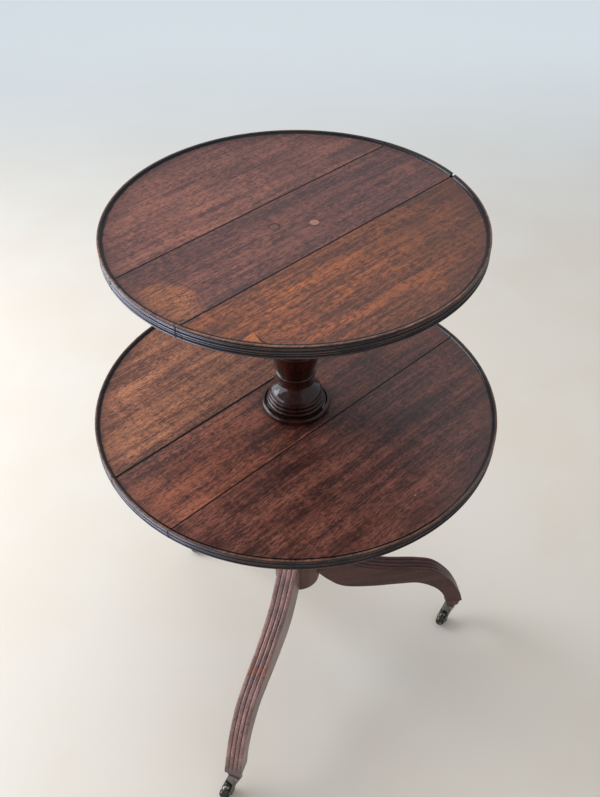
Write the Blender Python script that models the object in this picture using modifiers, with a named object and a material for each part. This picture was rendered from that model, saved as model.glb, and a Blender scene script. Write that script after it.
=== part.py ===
"""A two-tier drop-leaf dumbwaiter table in mahogany.

Two round, dished tiers stand on a turned pillar with three sabre legs on casters. Each tier
is a fixed centre board with a leaf hinged on both sides by a rule joint, and a bearer that
turns on the pillar's neck to hold the leaves up. It is drawn here with the leaves up and the
bearers parked along the centre boards. Lengths are in metres, the origin is on the pillar's
axis at floor level, and the rule joints run along X.
"""

import math

import bmesh
import bpy
from mathutils import Matrix, Vector

# Overall sizes
TOTAL_HEIGHT = 0.940
TIER_SPACING = 0.305
UPPER_RADIUS = 0.244
LOWER_RADIUS = 0.293
UPPER_CENTRE_WIDTH = 0.120
LOWER_CENTRE_WIDTH = 0.122

# Clearances
SEAT_GAP = 0.0003
RULE_JOINT_GAP = 0.0009
CUT_OVERRUN = 0.004
WELD_DISTANCE = 0.00001

# Tier edge: a raised lip round a dished field, with reeds below the lip
EDGE_HEIGHT = 0.0185
LIP_RISE = 0.0045
LIP_WIDTH = 0.0032
COVE_WIDTH = 0.0045
REED_DEPTH = 0.0015
reed_height_shares = (0.26, 0.25, 0.25, 0.24)
REED_BULGE_SHARE = 0.36
REED_ARC_STEPS = 3
COVE_BULGE_SHARE = -0.20
COVE_ARC_STEPS = 2
TIER_STEPS = 40

# Rule joint and back-flap hinges
RULE_RADIUS = 0.008
RULE_ARC_STEPS = 6
KNUCKLE_RADIUS = 0.0026
KNUCKLE_BORE = 0.0014
HINGE_PIN_RADIUS = 0.0011
HINGE_RECESS = 0.0003
HINGE_WIDTH = 0.038
HINGE_KNUCKLES = 3
HINGE_PLATE_THICKNESS = 0.0015
FIXED_FLAP_REACH = 0.024
LEAF_FLAP_REACH = 0.040
KNUCKLE_CLEARANCE = 0.0006
upper_hinge_place_share = 0.50
lower_hinge_place_share = 0.52

# Pillar neck, block and bearer
NECK_RADIUS = 0.017
BLOCK_RADIUS = 0.046
BLOCK_HEIGHT = 0.014
EYE_RADIUS = 0.029
EYE_HEIGHT = 0.013
EYE_BORE_GAP = 0.0004
BEARER_WIDTH = 0.030
UPPER_BEARER_REACH = 0.172
LOWER_BEARER_REACH = 0.208
BEARER_TIP_HEIGHT = 0.012
BEARER_TAPER = 0.060
BEARER_SLOPE = 0.012

# Upper pillar, from the foot ring on the lower tier up to the shoulder under the bearer
UPPER_FOOT_RADIUS = 0.0503
SPIGOT_RADIUS = 0.013
SPIGOT_LENGTH = 0.045
# Mouldings are rows of radius share, height share and bulge of the run to it. The long curves between
# them are knots of radius share and height share.
upper_crown_shares = (
    (0.60, 1.000, 0.0),
    (0.60, 0.978, 0.36),
    (0.53, 0.974, 0.0),
    (0.40, 0.905, -0.16),
    (0.40, 0.883, 0.40),
    (0.37, 0.879, 0.0),
)
urn_shares = (
    (0.370, 0.879),
    (0.390, 0.830),
    (0.520, 0.746),
    (0.680, 0.650),
    (0.775, 0.556),
    (0.765, 0.478),
    (0.735, 0.434),
)
urn_ring_shares = (
    (0.735, 0.434, 0.0),
    (0.735, 0.404, 0.30),
    (0.716, 0.400, 0.0),
)
stem_shares = (
    (0.716, 0.400),
    (0.656, 0.339),
    (0.590, 0.290),
    (0.541, 0.253),
)
stem_ring_shares = (
    (0.541, 0.253, 0.0),
    (0.541, 0.226, 0.34),
    (0.501, 0.224, 0.0),
)
bell_shares = (
    (0.501, 0.224),
    (0.489, 0.200),
    (0.505, 0.172),
    (0.608, 0.143),
    (0.715, 0.120),
    (0.760, 0.102),
)
foot_ring_shares = (
    (0.745, 0.098, 0.0),
    (0.755, 0.077, 0.28),
    (0.783, 0.075, 0.0),
    (0.787, 0.053, 0.26),
    (0.815, 0.051, 0.0),
    (0.825, 0.029, 0.24),
    (0.875, 0.027, 0.0),
    (0.915, 0.033, 0.0),
    (1.000, 0.012, 0.20),
    (1.000, 0.000, 0.0),
)
URN_STEPS = 8
STEM_STEPS = 5
BELL_STEPS = 7

# Lower pillar, from the shoulder under its bearer down to the drum that carries the legs
HUB_RADIUS = 0.039
HUB_TOP = 0.318
HUB_BOTTOM = 0.214
SOCKET_EXTRA_DEPTH = 0.004
lower_pillar_shares = (
    (0.78, 1.000, 0.0),
    (0.78, 0.978, 0.36),
    (0.70, 0.974, 0.0),
    (0.56, 0.900, -0.16),
    (0.58, 0.872, 0.40),
    (0.53, 0.867, 0.0),
    (0.70, 0.300, -0.02),
    (0.78, 0.262, 0.36),
    (0.72, 0.256, 0.0),
    (0.82, 0.150, 0.12),
    (0.98, 0.090, -0.12),
    (1.06, 0.030, 0.34),
    (1.00, 0.000, 0.0),
)
PILLAR_STEPS = 20
STRONG_BULGE = 0.12
STRONG_ARC_STEPS = 3
SLIGHT_ARC_STEPS = 2

# Pendant: a turned drop that closes the drum below the legs, on a dowel
PENDANT_DROP = 0.026
DOWEL_RADIUS = 0.008
DOWEL_LENGTH = 0.020
pendant_shares = (
    (0.93, 1.00),
    (0.90, 0.86),
    (0.72, 0.66),
    (0.50, 0.36),
    (0.43, 0.14),
    (0.40, 0.00),
)
PENDANT_STEPS = 7

# Screws that hold the upper tier to its block, under wooden pellets
SCREW_OFFSET = 0.0256
SCREW_LINE_DEGREES = -32.0
PELLET_RADIUS = 0.0065
PELLET_HEIGHT = 0.0040
SCREW_HEAD_RADIUS = 0.0048
SCREW_HEAD_HEIGHT = 0.0025
SCREW_SHANK_RADIUS = 0.0024
SCREW_BITE = 0.009

# Legs
LEG_COUNT = 3
FIRST_LEG_DEGREES = -33.5
LEG_REACH = 0.319
LEG_RISE = 0.239
FOOT_HEIGHT = 0.063
LEG_ROOT_WIDTH = 0.0336
LEG_FOOT_WIDTH = 0.0284
LEG_ARRIS = 0.0020
LEG_REED_COUNT = 4
LEG_REED_STEPS = 3
LEG_REED_DEPTH = 0.0017
TENON_ROOT_WIDTH = 0.011
TENON_TIP_WIDTH = 0.015
TENON_DEPTH = 0.012
# The leg's top and underside: radius as a share of LEG_REACH, height above the foot as a share of LEG_RISE.
leg_top_shares = (
    (0.080, 1.040),
    (0.222, 0.815),
    (0.335, 0.680),
    (0.517, 0.575),
    (0.690, 0.518),
    (0.809, 0.451),
    (0.912, 0.290),
    (0.980, 0.105),
    (1.000, 0.000),
)
leg_underside_shares = (
    (0.080, 0.730),
    (0.163, 0.570),
    (0.262, 0.450),
    (0.423, 0.393),
    (0.574, 0.368),
    (0.702, 0.338),
    (0.809, 0.240),
    (0.871, 0.125),
    (0.903, 0.000),
)
LEG_STATIONS = 13
reed_fade_shares = (0.90, 0.95)

# Toe under each foot
TOE_HEIGHT = 0.019
TOE_INSET = 0.0016
TOE_TIP_LENGTH = 0.022
TOE_TIP_WIDTH = 0.0205

# Casters
CASTER_HEADING_DEGREES = 185.0
CASTER_TRAIL = 0.025
WHEEL_RADIUS = 0.0155
WHEEL_WIDTH = 0.012
WHEEL_ROUND = 0.003
WHEEL_CLEARANCE = 0.0012
CASTER_PLATE_RADIUS = 0.0095
CASTER_PLATE_THICKNESS = 0.0022
CASTER_STEM_RADIUS = 0.0030
CASTER_STEM_LENGTH = 0.016
SWIVEL_PIN_RADIUS = 0.0026
SWIVEL_HEAD_RADIUS = 0.0042
SWIVEL_HEAD_HEIGHT = 0.0016
HORN_BOSS_RADIUS = 0.0080
HORN_BOSS_HEIGHT = 0.0050
CHEEK_THICKNESS = 0.0024
CHEEK_GAP = 0.0006
CHEEK_EYE_RADIUS = 0.0050
EYE_START_DEGREES = 150
EYE_END_DEGREES = 360
EYE_ARC_STEPS = 6
FORK_ROOT_HEIGHT = 0.0110
AXLE_RADIUS = 0.0020
AXLE_HEAD_RADIUS = 0.0032
AXLE_HEAD_THICKNESS = 0.0012
ROUND_STEPS = 16
CASTER_PLATE_STEPS = 12
SMALL_STEPS = 8
SHARP_EDGE_DEGREES = 32

# Heights and places that follow
UPPER_UNDERSIDE = TOTAL_HEIGHT - EDGE_HEIGHT
LOWER_LIP_TOP = TOTAL_HEIGHT - TIER_SPACING
LOWER_UNDERSIDE = LOWER_LIP_TOP - EDGE_HEIGHT
FIELD_HEIGHT = EDGE_HEIGHT - LIP_RISE
HINGE_AXIS_HEIGHT = HINGE_RECESS + KNUCKLE_RADIUS
SHOULDER_DROP = 3 * SEAT_GAP + BLOCK_HEIGHT + EYE_HEIGHT
UPPER_PILLAR_FOOT = LOWER_UNDERSIDE + FIELD_HEIGHT + SEAT_GAP
FOOT_CENTRE = LEG_REACH * (leg_top_shares[-1][0] + leg_underside_shares[-1][0]) / 2
FOOT_LENGTH = LEG_REACH * (leg_top_shares[-1][0] - leg_underside_shares[-1][0])
TOE_BOTTOM = FOOT_HEIGHT - TOE_HEIGHT
HORN_TOP = TOE_BOTTOM - CASTER_PLATE_THICKNESS - 2 * SEAT_GAP


class Tier:
    """One round tier: where it is and how it is divided."""

    def __init__(self, name, radius, underside, centre_width, hinge_share, bearer_reach):
        self.name = name
        self.radius = radius
        self.underside = underside
        self.hinge_y = centre_width / 2
        chord = math.sqrt(radius**2 - self.hinge_y**2)
        self.hinge_x = chord * hinge_share
        self.bearer_reach = bearer_reach


UPPER_TIER = Tier("upper", UPPER_RADIUS, UPPER_UNDERSIDE, UPPER_CENTRE_WIDTH,
                  upper_hinge_place_share, UPPER_BEARER_REACH)
LOWER_TIER = Tier("lower", LOWER_RADIUS, LOWER_UNDERSIDE, LOWER_CENTRE_WIDTH,
                  lower_hinge_place_share, LOWER_BEARER_REACH)


# Scene and collections
for old in list(bpy.data.objects):
    bpy.data.objects.remove(old, do_unlink=True)

PARTS = bpy.data.collections.new("dumbwaiter_table")
CUTTERS = bpy.data.collections.new("cutters")
for group in (PARTS, CUTTERS):
    bpy.context.scene.collection.children.link(group)


def material(name, colour, roughness, metallic=0.0):
    """A Principled material in the piece's own colour."""
    made = bpy.data.materials.new(name)
    made.use_nodes = True
    shader = made.node_tree.nodes["Principled BSDF"]
    shader.inputs["Base Color"].default_value = (*colour, 1.0)
    shader.inputs["Roughness"].default_value = roughness
    shader.inputs["Metallic"].default_value = metallic
    return made


MAHOGANY = material("mahogany", (0.17, 0.065, 0.032), 0.38)
DARK_MAHOGANY = material("dark_mahogany", (0.085, 0.034, 0.022), 0.34)
HIDDEN_WOOD = material("hidden_wood", (0.30, 0.18, 0.10), 0.60)
PELLET_WOOD = material("pellet_wood", (0.26, 0.11, 0.05), 0.45)
BRASS = material("brass", (0.60, 0.47, 0.24), 0.35, 1.0)
OLD_BRASS = material("old_brass", (0.20, 0.15, 0.08), 0.45, 1.0)
STEEL = material("steel", (0.35, 0.34, 0.33), 0.45, 1.0)


def place(mesh, name, look, location=(0, 0, 0), turn=0.0, group=PARTS):
    """Puts a mesh in the scene as a named object with its material."""
    thing = bpy.data.objects.new(name, mesh)
    thing.location = location
    thing.rotation_euler = (0, 0, turn)
    if not mesh.materials:
        mesh.materials.append(look)
    group.objects.link(thing)
    if group is CUTTERS:
        thing.hide_render = True
        thing.display_type = "WIRE"
    return thing


def applied(thing):
    """The object's mesh with its modifiers applied; the object itself is removed."""
    bpy.context.view_layer.update()
    graph = bpy.context.evaluated_depsgraph_get()
    mesh = bpy.data.meshes.new_from_object(thing.evaluated_get(graph))
    mesh.name = thing.name
    mesh.transform(thing.matrix_world)
    bpy.data.objects.remove(thing, do_unlink=True)
    return mesh


def combine(target, other, operation):
    """Adds an exact Boolean of target with other, which becomes a cutter."""
    step = target.modifiers.new(f"{operation.lower()} {other.name}", "BOOLEAN")
    step.operation = operation
    step.object = other
    step.solver = "EXACT"
    return target


def box_mesh(name, low, high):
    """A box between two corners."""
    low, high = Vector(low), Vector(high)
    bm = bmesh.new()
    bmesh.ops.create_cube(bm, size=1.0)
    size = high - low
    middle = (high + low) / 2
    bmesh.ops.transform(bm, verts=bm.verts,
                        matrix=Matrix.Translation(middle) @ Matrix.Diagonal((*size, 1.0)))
    mesh = bpy.data.meshes.new(name)
    bm.to_mesh(mesh)
    bm.free()
    return mesh


def rod_mesh(name, radius, length, steps, axis="Z"):
    """A cylinder centred on the origin along an axis."""
    bm = bmesh.new()
    bmesh.ops.create_cone(bm, cap_ends=True, segments=steps, radius1=radius, radius2=radius,
                          depth=length)
    turns = {"X": Matrix.Rotation(math.pi / 2, 4, "Y"), "Y": Matrix.Rotation(math.pi / 2, 4, "X")}
    if axis in turns:
        bmesh.ops.transform(bm, verts=bm.verts, matrix=turns[axis])
    mesh = bpy.data.meshes.new(name)
    bm.to_mesh(mesh)
    bm.free()
    return mesh


def cutter(mesh, location=(0, 0, 0), turn=0.0):
    """A mesh placed as a cutter, named after itself."""
    return place(mesh, f"cut_{mesh.name}", HIDDEN_WOOD, location, turn, CUTTERS)


def arc_points(start, end, bulge, count):
    """Points from start to end, start left out, along an arc whose rise is a share of its chord."""
    if not bulge:
        return [end]
    start, end = Vector(start), Vector(end)
    chord = end - start
    outward = Vector((-chord.y, chord.x)) / chord.length
    half_angle = 2 * math.atan(2 * abs(bulge))
    radius = chord.length / 2 / math.sin(half_angle)
    middle = (start + end) / 2
    points = []
    for i in range(1, count + 1):
        angle = half_angle * (2 * i / count - 1)
        along = chord.normalized() * radius * math.sin(angle)
        rise = radius * (math.cos(angle) - math.cos(half_angle)) * math.copysign(1, bulge)
        points.append(tuple(middle + along + outward * rise))
    return points


def profile_from_shares(shares, radius, low, high):
    """A turned outline, top to bottom, from rows of radius share, height share and bulge."""
    span = high - low
    points = [(shares[0][0] * radius, low + shares[0][1] * span)]
    for radius_share, height_share, bulge in shares[1:]:
        end = (radius_share * radius, low + height_share * span)
        steps = STRONG_ARC_STEPS if abs(bulge) > STRONG_BULGE else SLIGHT_ARC_STEPS
        points += arc_points(points[-1], end, bulge, steps)
    return points


def spline_points(knots, count):
    """Points at even steps along a smooth curve through the knots."""
    spans = len(knots) - 1
    points = []
    for i in range(count):
        at = i * spans / (count - 1)
        k = min(int(at), spans - 1)
        t = at - k
        p1, p2 = Vector(knots[k]), Vector(knots[k + 1])
        p0 = Vector(knots[k - 1]) if k else p1
        p3 = Vector(knots[k + 2]) if k + 2 <= spans else p2
        slope1, slope2 = (p2 - p0) / 2, (p3 - p1) / 2
        points.append(p1 * (2 * t**3 - 3 * t**2 + 1) + slope1 * (t**3 - 2 * t**2 + t)
                      + p2 * (3 * t**2 - 2 * t**3) + slope2 * (t**3 - t**2))
    return points


def curve_from_shares(shares, radius, low, high, count):
    """A smooth turned outline through rows of radius share and height share."""
    knots = [(r * radius, low + h * (high - low)) for r, h in shares]
    return [tuple(point) for point in spline_points(knots, count)]


def turned_mesh(name, points, steps, closed=False):
    """A turned solid: an outline at +X, running down its outer side, under a Screw modifier."""
    mesh = bpy.data.meshes.new(name)
    edges = [(i, i + 1) for i in range(len(points) - 1)]
    if closed:
        edges.append((len(points) - 1, 0))
    mesh.from_pydata([(r, 0, z) for r, z in points], edges, [])
    thing = place(mesh, name, HIDDEN_WOOD)
    screw = thing.modifiers.new("turn", "SCREW")
    screw.axis = "Z"
    screw.angle = 2 * math.pi
    screw.steps = steps
    screw.render_steps = steps
    screw.use_merge_vertices = True
    screw.merge_threshold = WELD_DISTANCE
    made = applied(thing)
    made.materials.clear()
    return made


def smooth_round(thing):
    """Smooth shading with the sharp edges kept."""
    thing.data.shade_smooth()
    thing.data.set_sharp_from_angle(angle=math.radians(SHARP_EDGE_DEGREES))
    return thing


def extruded_mesh(name, outline, depth):
    """A flat outline of (x, y) points, filled and extruded to a depth that is centred on zero."""
    curve = bpy.data.curves.new(name, "CURVE")
    curve.dimensions = "2D"
    curve.fill_mode = "BOTH"
    curve.extrude = depth / 2
    line = curve.splines.new("POLY")
    line.points.add(len(outline) - 1)
    for point, (x, y) in zip(line.points, outline):
        point.co = (x, y, 0, 1)
    line.use_cyclic_u = True
    thing = bpy.data.objects.new(name, curve)
    PARTS.objects.link(thing)
    mesh = applied(thing)
    bm = bmesh.new()
    bm.from_mesh(mesh)
    bmesh.ops.remove_doubles(bm, verts=bm.verts, dist=WELD_DISTANCE)
    bmesh.ops.recalc_face_normals(bm, faces=bm.faces)
    bm.to_mesh(mesh)
    bm.free()
    mesh.materials.clear()
    return mesh


# Upright plane: turns an outline drawn as (along, up) into one that stands, extruded along its normal
STAND_ALONG_X = Matrix.Rotation(math.pi / 2, 4, "X")
STAND_ALONG_Y = Matrix.Rotation(math.pi / 2, 4, "Z") @ Matrix.Rotation(math.pi / 2, 4, "X")


def tier_outline(radius):
    """A dished disc with a raised lip and a reeded edge; height 0 is its underside."""
    lip_inside = radius - REED_DEPTH - LIP_WIDTH
    points = [(0, FIELD_HEIGHT), (lip_inside - COVE_WIDTH, FIELD_HEIGHT)]
    points += arc_points(points[-1], (lip_inside, EDGE_HEIGHT), COVE_BULGE_SHARE, COVE_ARC_STEPS)
    points.append((radius - REED_DEPTH, EDGE_HEIGHT))
    top = EDGE_HEIGHT
    for share in reed_height_shares:
        bottom = top - share * EDGE_HEIGHT / sum(reed_height_shares)
        end = (radius - REED_DEPTH, bottom)
        points += arc_points(points[-1], end, REED_BULGE_SHARE, REED_ARC_STEPS)
        top = bottom
    points.append((0, 0))
    return points


def rule_curve(hinge_y, gap, side):
    """The rule joint's edge from top to bottom, in (y, height above the underside)."""
    radius = RULE_RADIUS + gap
    points = [(hinge_y + gap, EDGE_HEIGHT + CUT_OVERRUN)]
    for i in range(RULE_ARC_STEPS + 1):
        angle = math.pi / 2 * (1 - i / RULE_ARC_STEPS)
        points.append((hinge_y + radius * math.cos(angle),
                       HINGE_AXIS_HEIGHT + radius * math.sin(angle)))
    points.append((hinge_y + radius, -CUT_OVERRUN))
    return [(side * y, z) for y, z in points]


def centre_prism(tier):
    """A long block with the centre board's section, a quarter round on each side."""
    right = rule_curve(tier.hinge_y, 0, 1)
    left = rule_curve(tier.hinge_y, 0, -1)
    mesh = extruded_mesh(f"{tier.name}_centre_section", right + left[::-1],
                         2 * (tier.radius + CUT_OVERRUN))
    mesh.transform(STAND_ALONG_Y)
    return mesh


def leaf_prism(tier, side):
    """A long block with the leaf's section, hollowed to clear the quarter round."""
    inner = rule_curve(tier.hinge_y, RULE_JOINT_GAP, side)
    outer = side * (tier.radius + CUT_OVERRUN)
    outline = inner + [(outer, -CUT_OVERRUN), (outer, EDGE_HEIGHT + CUT_OVERRUN)]
    mesh = extruded_mesh(f"{tier.name}_leaf_section", outline, 2 * (tier.radius + CUT_OVERRUN))
    mesh.transform(STAND_ALONG_Y)
    return mesh


def hinge_places(tier, side):
    """The two hinge centres on one joint line."""
    return [(end * tier.hinge_x, side * tier.hinge_y) for end in (-1, 1)]


def hinge_recess_meshes(tier, side):
    """One cut for each hinge: shallow under both flaps, deeper along the knuckle."""
    flap_top = HINGE_RECESS + HINGE_PLATE_THICKNESS + SEAT_GAP
    knuckle_top = HINGE_AXIS_HEIGHT + KNUCKLE_RADIUS + SEAT_GAP
    inner = -FIXED_FLAP_REACH - SEAT_GAP
    near = -KNUCKLE_RADIUS - KNUCKLE_CLEARANCE - SEAT_GAP
    far = RULE_RADIUS + CUT_OVERRUN
    outer = LEAF_FLAP_REACH + SEAT_GAP
    section = [(inner, -CUT_OVERRUN), (outer, -CUT_OVERRUN), (outer, flap_top), (far, flap_top),
               (far, knuckle_top), (near, knuckle_top), (near, flap_top), (inner, flap_top)]
    cuts = []
    for x, y in hinge_places(tier, side):
        outline = [(y + side * out, height) for out, height in section]
        cut = extruded_mesh("recess", outline, HINGE_WIDTH + 2 * SEAT_GAP)
        cut.transform(Matrix.Translation((x, 0, 0)) @ STAND_ALONG_Y)
        cuts.append(cut)
    return cuts


def add_cuts(board, meshes):
    """Cuts each mesh from a board, one exact Boolean each."""
    for i, mesh in enumerate(meshes):
        mesh.name = f"{board.name}_{i}"
        combine(board, cutter(mesh, board.location), "DIFFERENCE")


def board(tier, name, prism, cuts):
    """One board of a tier: the turned disc, kept inside a prism and cut for what it holds."""
    disc = place(turned_mesh(name, tier_outline(tier.radius), TIER_STEPS), name, MAHOGANY,
                 (0, 0, tier.underside))
    prism.name = f"{name}_section"
    combine(disc, cutter(prism, disc.location), "INTERSECT")
    add_cuts(disc, cuts)
    return smooth_round(disc)


def screw_places():
    """The two screws that hold the upper tier, on a line across the pillar."""
    angle = math.radians(SCREW_LINE_DEGREES)
    offset = Vector((math.cos(angle), math.sin(angle))) * SCREW_OFFSET
    return [offset, -offset]


def screw_hole_meshes():
    """Stepped holes down through the upper centre board for each pellet, head and shank."""
    deep = FIELD_HEIGHT - PELLET_HEIGHT - SCREW_HEAD_HEIGHT - 2 * SEAT_GAP
    meshes = []
    for place_xy in screw_places():
        wide_height = FIELD_HEIGHT - deep + CUT_OVERRUN
        wide = rod_mesh("pellet_hole", PELLET_RADIUS + SEAT_GAP, wide_height, ROUND_STEPS)
        wide.transform(Matrix.Translation((*place_xy, deep + wide_height / 2)))
        thin_height = FIELD_HEIGHT + 2 * CUT_OVERRUN
        thin = rod_mesh("shank_hole", SCREW_SHANK_RADIUS + SEAT_GAP, thin_height, SMALL_STEPS)
        thin.transform(Matrix.Translation((*place_xy, FIELD_HEIGHT / 2)))
        meshes += [wide, thin]
    return meshes


def spigot_hole_meshes():
    """The hole through the lower centre board for the upper pillar's spigot."""
    return [rod_mesh("spigot_hole", SPIGOT_RADIUS + SEAT_GAP,
                     2 * (EDGE_HEIGHT + CUT_OVERRUN), PILLAR_STEPS)]


def make_tier(tier, centre_cuts):
    """The centre board and both leaves of a tier."""
    recesses = hinge_recess_meshes(tier, 1) + hinge_recess_meshes(tier, -1)
    board(tier, f"{tier.name}_centre_board", centre_prism(tier), recesses + centre_cuts)
    for side, label in ((1, "back"), (-1, "front")):
        board(tier, f"{tier.name}_{label}_leaf", leaf_prism(tier, side),
              hinge_recess_meshes(tier, side))


# Hinges
def flap_body(name, reach, knuckle_spans):
    """A flap reaching along +Y from its axis, with bored knuckles on given spans of X."""
    flap_low = -KNUCKLE_RADIUS
    flap_high = flap_low + HINGE_PLATE_THICKNESS
    clear = KNUCKLE_RADIUS + KNUCKLE_CLEARANCE
    half = HINGE_WIDTH / 2
    flap = place(box_mesh(name, (-half, clear, flap_low), (half, reach, flap_high)), name, BRASS)
    for i, (start, end) in enumerate(knuckle_spans):
        tongue = box_mesh(f"{name}_tongue_{i}", (start, 0, flap_low), (end, 2 * clear, flap_high))
        combine(flap, cutter(tongue), "UNION")
        knuckle = rod_mesh(f"{name}_knuckle_{i}", KNUCKLE_RADIUS, end - start, SMALL_STEPS, "X")
        combine(flap, cutter(knuckle, ((start + end) / 2, 0, 0)), "UNION")
    hole = rod_mesh(f"{name}_bore", KNUCKLE_BORE, HINGE_WIDTH + CUT_OVERRUN, SMALL_STEPS, "X")
    combine(flap, cutter(hole), "DIFFERENCE")
    return applied(flap)


def make_hinges():
    """Two back-flap hinges on each of the four rule joints."""
    half = HINGE_WIDTH / 2
    middle = half / HINGE_KNUCKLES
    inner = middle + SEAT_GAP
    fixed = flap_body("fixed_flap", FIXED_FLAP_REACH, [(-half, -inner), (inner, half)])
    moving = flap_body("leaf_flap", LEAF_FLAP_REACH, [(-middle, middle)])
    pin = rod_mesh("hinge_pin", HINGE_PIN_RADIUS, HINGE_WIDTH, SMALL_STEPS, "X")
    for tier in (UPPER_TIER, LOWER_TIER):
        for side, label in ((1, "back"), (-1, "front")):
            for (x, y), end in zip(hinge_places(tier, side), ("left", "right")):
                spot = (x, y, tier.underside + HINGE_AXIS_HEIGHT)
                outward = 0 if side > 0 else math.pi
                name = f"{tier.name}_{label}_{end}"
                place(moving, f"{name}_leaf_flap", BRASS, spot, outward)
                place(fixed, f"{name}_fixed_flap", BRASS, spot, outward + math.pi)
                smooth_round(place(pin, f"{name}_hinge_pin", STEEL, spot))


# Pillar
def neck_top(tier):
    """The outline above a shoulder: a plain neck that carries the bearer and the block."""
    shoulder = tier.underside - SHOULDER_DROP
    return [(0, tier.underside - SEAT_GAP), (NECK_RADIUS, tier.underside - SEAT_GAP),
            (NECK_RADIUS, shoulder)]


def make_upper_pillar():
    """The turned pillar between the tiers, with a spigot down into the lower pillar."""
    size = (UPPER_FOOT_RADIUS, UPPER_PILLAR_FOOT, UPPER_UNDERSIDE - SHOULDER_DROP)
    points = neck_top(UPPER_TIER)
    points += profile_from_shares(upper_crown_shares, *size)
    points += curve_from_shares(urn_shares, *size, URN_STEPS)[1:-1]
    points += profile_from_shares(urn_ring_shares, *size)
    points += curve_from_shares(stem_shares, *size, STEM_STEPS)[1:-1]
    points += profile_from_shares(stem_ring_shares, *size)
    points += curve_from_shares(bell_shares, *size, BELL_STEPS)[1:]
    points += profile_from_shares(foot_ring_shares, *size)
    spigot_end = UPPER_PILLAR_FOOT - SPIGOT_LENGTH
    points += [(SPIGOT_RADIUS, UPPER_PILLAR_FOOT), (SPIGOT_RADIUS, spigot_end), (0, spigot_end)]
    smooth_round(place(turned_mesh("upper_pillar", points, PILLAR_STEPS), "upper_pillar", DARK_MAHOGANY))


def make_lower_pillar():
    """The turned pillar under the lower tier: neck, baluster and the drum for the legs."""
    shoulder = LOWER_UNDERSIDE - SHOULDER_DROP
    socket_bottom = UPPER_PILLAR_FOOT - SPIGOT_LENGTH - SOCKET_EXTRA_DEPTH
    socket = SPIGOT_RADIUS + SEAT_GAP
    top = LOWER_UNDERSIDE - SEAT_GAP
    points = [(0, socket_bottom), (socket, socket_bottom), (socket, top)] + neck_top(LOWER_TIER)[1:]
    points += profile_from_shares(lower_pillar_shares, HUB_RADIUS, HUB_TOP, shoulder)
    bore = DOWEL_RADIUS + SEAT_GAP
    bore_top = HUB_BOTTOM + DOWEL_LENGTH + SEAT_GAP
    points += [(HUB_RADIUS, HUB_BOTTOM), (bore, HUB_BOTTOM), (bore, bore_top), (0, bore_top)]
    pillar = place(turned_mesh("lower_pillar", points, PILLAR_STEPS), "lower_pillar", DARK_MAHOGANY)
    for i, turn in enumerate(leg_turns()):
        slot = tenon_mesh(f"leg_slot_{i}", SEAT_GAP, TENON_DEPTH + CUT_OVERRUN)
        combine(pillar, cutter(slot, turn=turn), "DIFFERENCE")
    smooth_round(pillar)


def make_pendant():
    """A turned drop under the drum, held by its own dowel."""
    top = HUB_BOTTOM - SEAT_GAP
    low = top - PENDANT_DROP
    dowel_top = top + DOWEL_LENGTH
    points = [(0, dowel_top), (DOWEL_RADIUS, dowel_top), (DOWEL_RADIUS, top)]
    points += curve_from_shares(pendant_shares, HUB_RADIUS, low, top, PENDANT_STEPS)
    points.append((0, low))
    smooth_round(place(turned_mesh("pendant", points, PILLAR_STEPS), "pendant", DARK_MAHOGANY))


def make_block(tier):
    """The round block that fixes a tier to the pillar's neck."""
    top = tier.underside - SEAT_GAP
    bottom = top - BLOCK_HEIGHT
    bore = NECK_RADIUS + SEAT_GAP
    outline = [(BLOCK_RADIUS, top), (BLOCK_RADIUS, bottom), (bore, bottom), (bore, top)]
    name = f"{tier.name}_block"
    block = place(turned_mesh(name, outline, PILLAR_STEPS, closed=True), name, HIDDEN_WOOD)
    if tier is UPPER_TIER:
        for i, spot in enumerate(screw_places()):
            pilot = rod_mesh(f"pilot_{i}", SCREW_SHANK_RADIUS + SEAT_GAP, 2 * SCREW_BITE, SMALL_STEPS)
            combine(block, cutter(pilot, (*spot, top)), "DIFFERENCE")
    smooth_round(block)


def bearer_outline(reach):
    """Side view of a bearer: a low middle that passes under the block, and raised ends."""
    end_top = 0.0
    eye_top = -BLOCK_HEIGHT - SEAT_GAP
    eye_bottom = eye_top - EYE_HEIGHT
    clear = BLOCK_RADIUS + 3 * SEAT_GAP
    right = [
        (clear, eye_top),
        (clear + BEARER_SLOPE, end_top),
        (reach, end_top),
        (reach, end_top - BEARER_TIP_HEIGHT),
        (reach - BEARER_TAPER, eye_bottom),
    ]
    return right + [(-x, z) for x, z in reversed(right)]


def make_bearer(tier):
    """A bar that turns on the neck under a tier and holds its leaves up when it is across them."""
    name = f"{tier.name}_bearer"
    top = tier.underside - SEAT_GAP
    bar = extruded_mesh(name, bearer_outline(tier.bearer_reach), BEARER_WIDTH)
    bar.transform(STAND_ALONG_X)
    bearer = place(bar, name, HIDDEN_WOOD, (0, 0, top))
    eye_middle = top - BLOCK_HEIGHT - SEAT_GAP - EYE_HEIGHT / 2
    eye = rod_mesh(f"{name}_eye", EYE_RADIUS, EYE_HEIGHT, PILLAR_STEPS)
    combine(bearer, cutter(eye, (0, 0, eye_middle)), "UNION")
    hole = rod_mesh(f"{name}_bore", NECK_RADIUS + EYE_BORE_GAP, EYE_HEIGHT + 2 * CUT_OVERRUN,
                    PILLAR_STEPS)
    combine(bearer, cutter(hole, (0, 0, eye_middle)), "DIFFERENCE")


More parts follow.
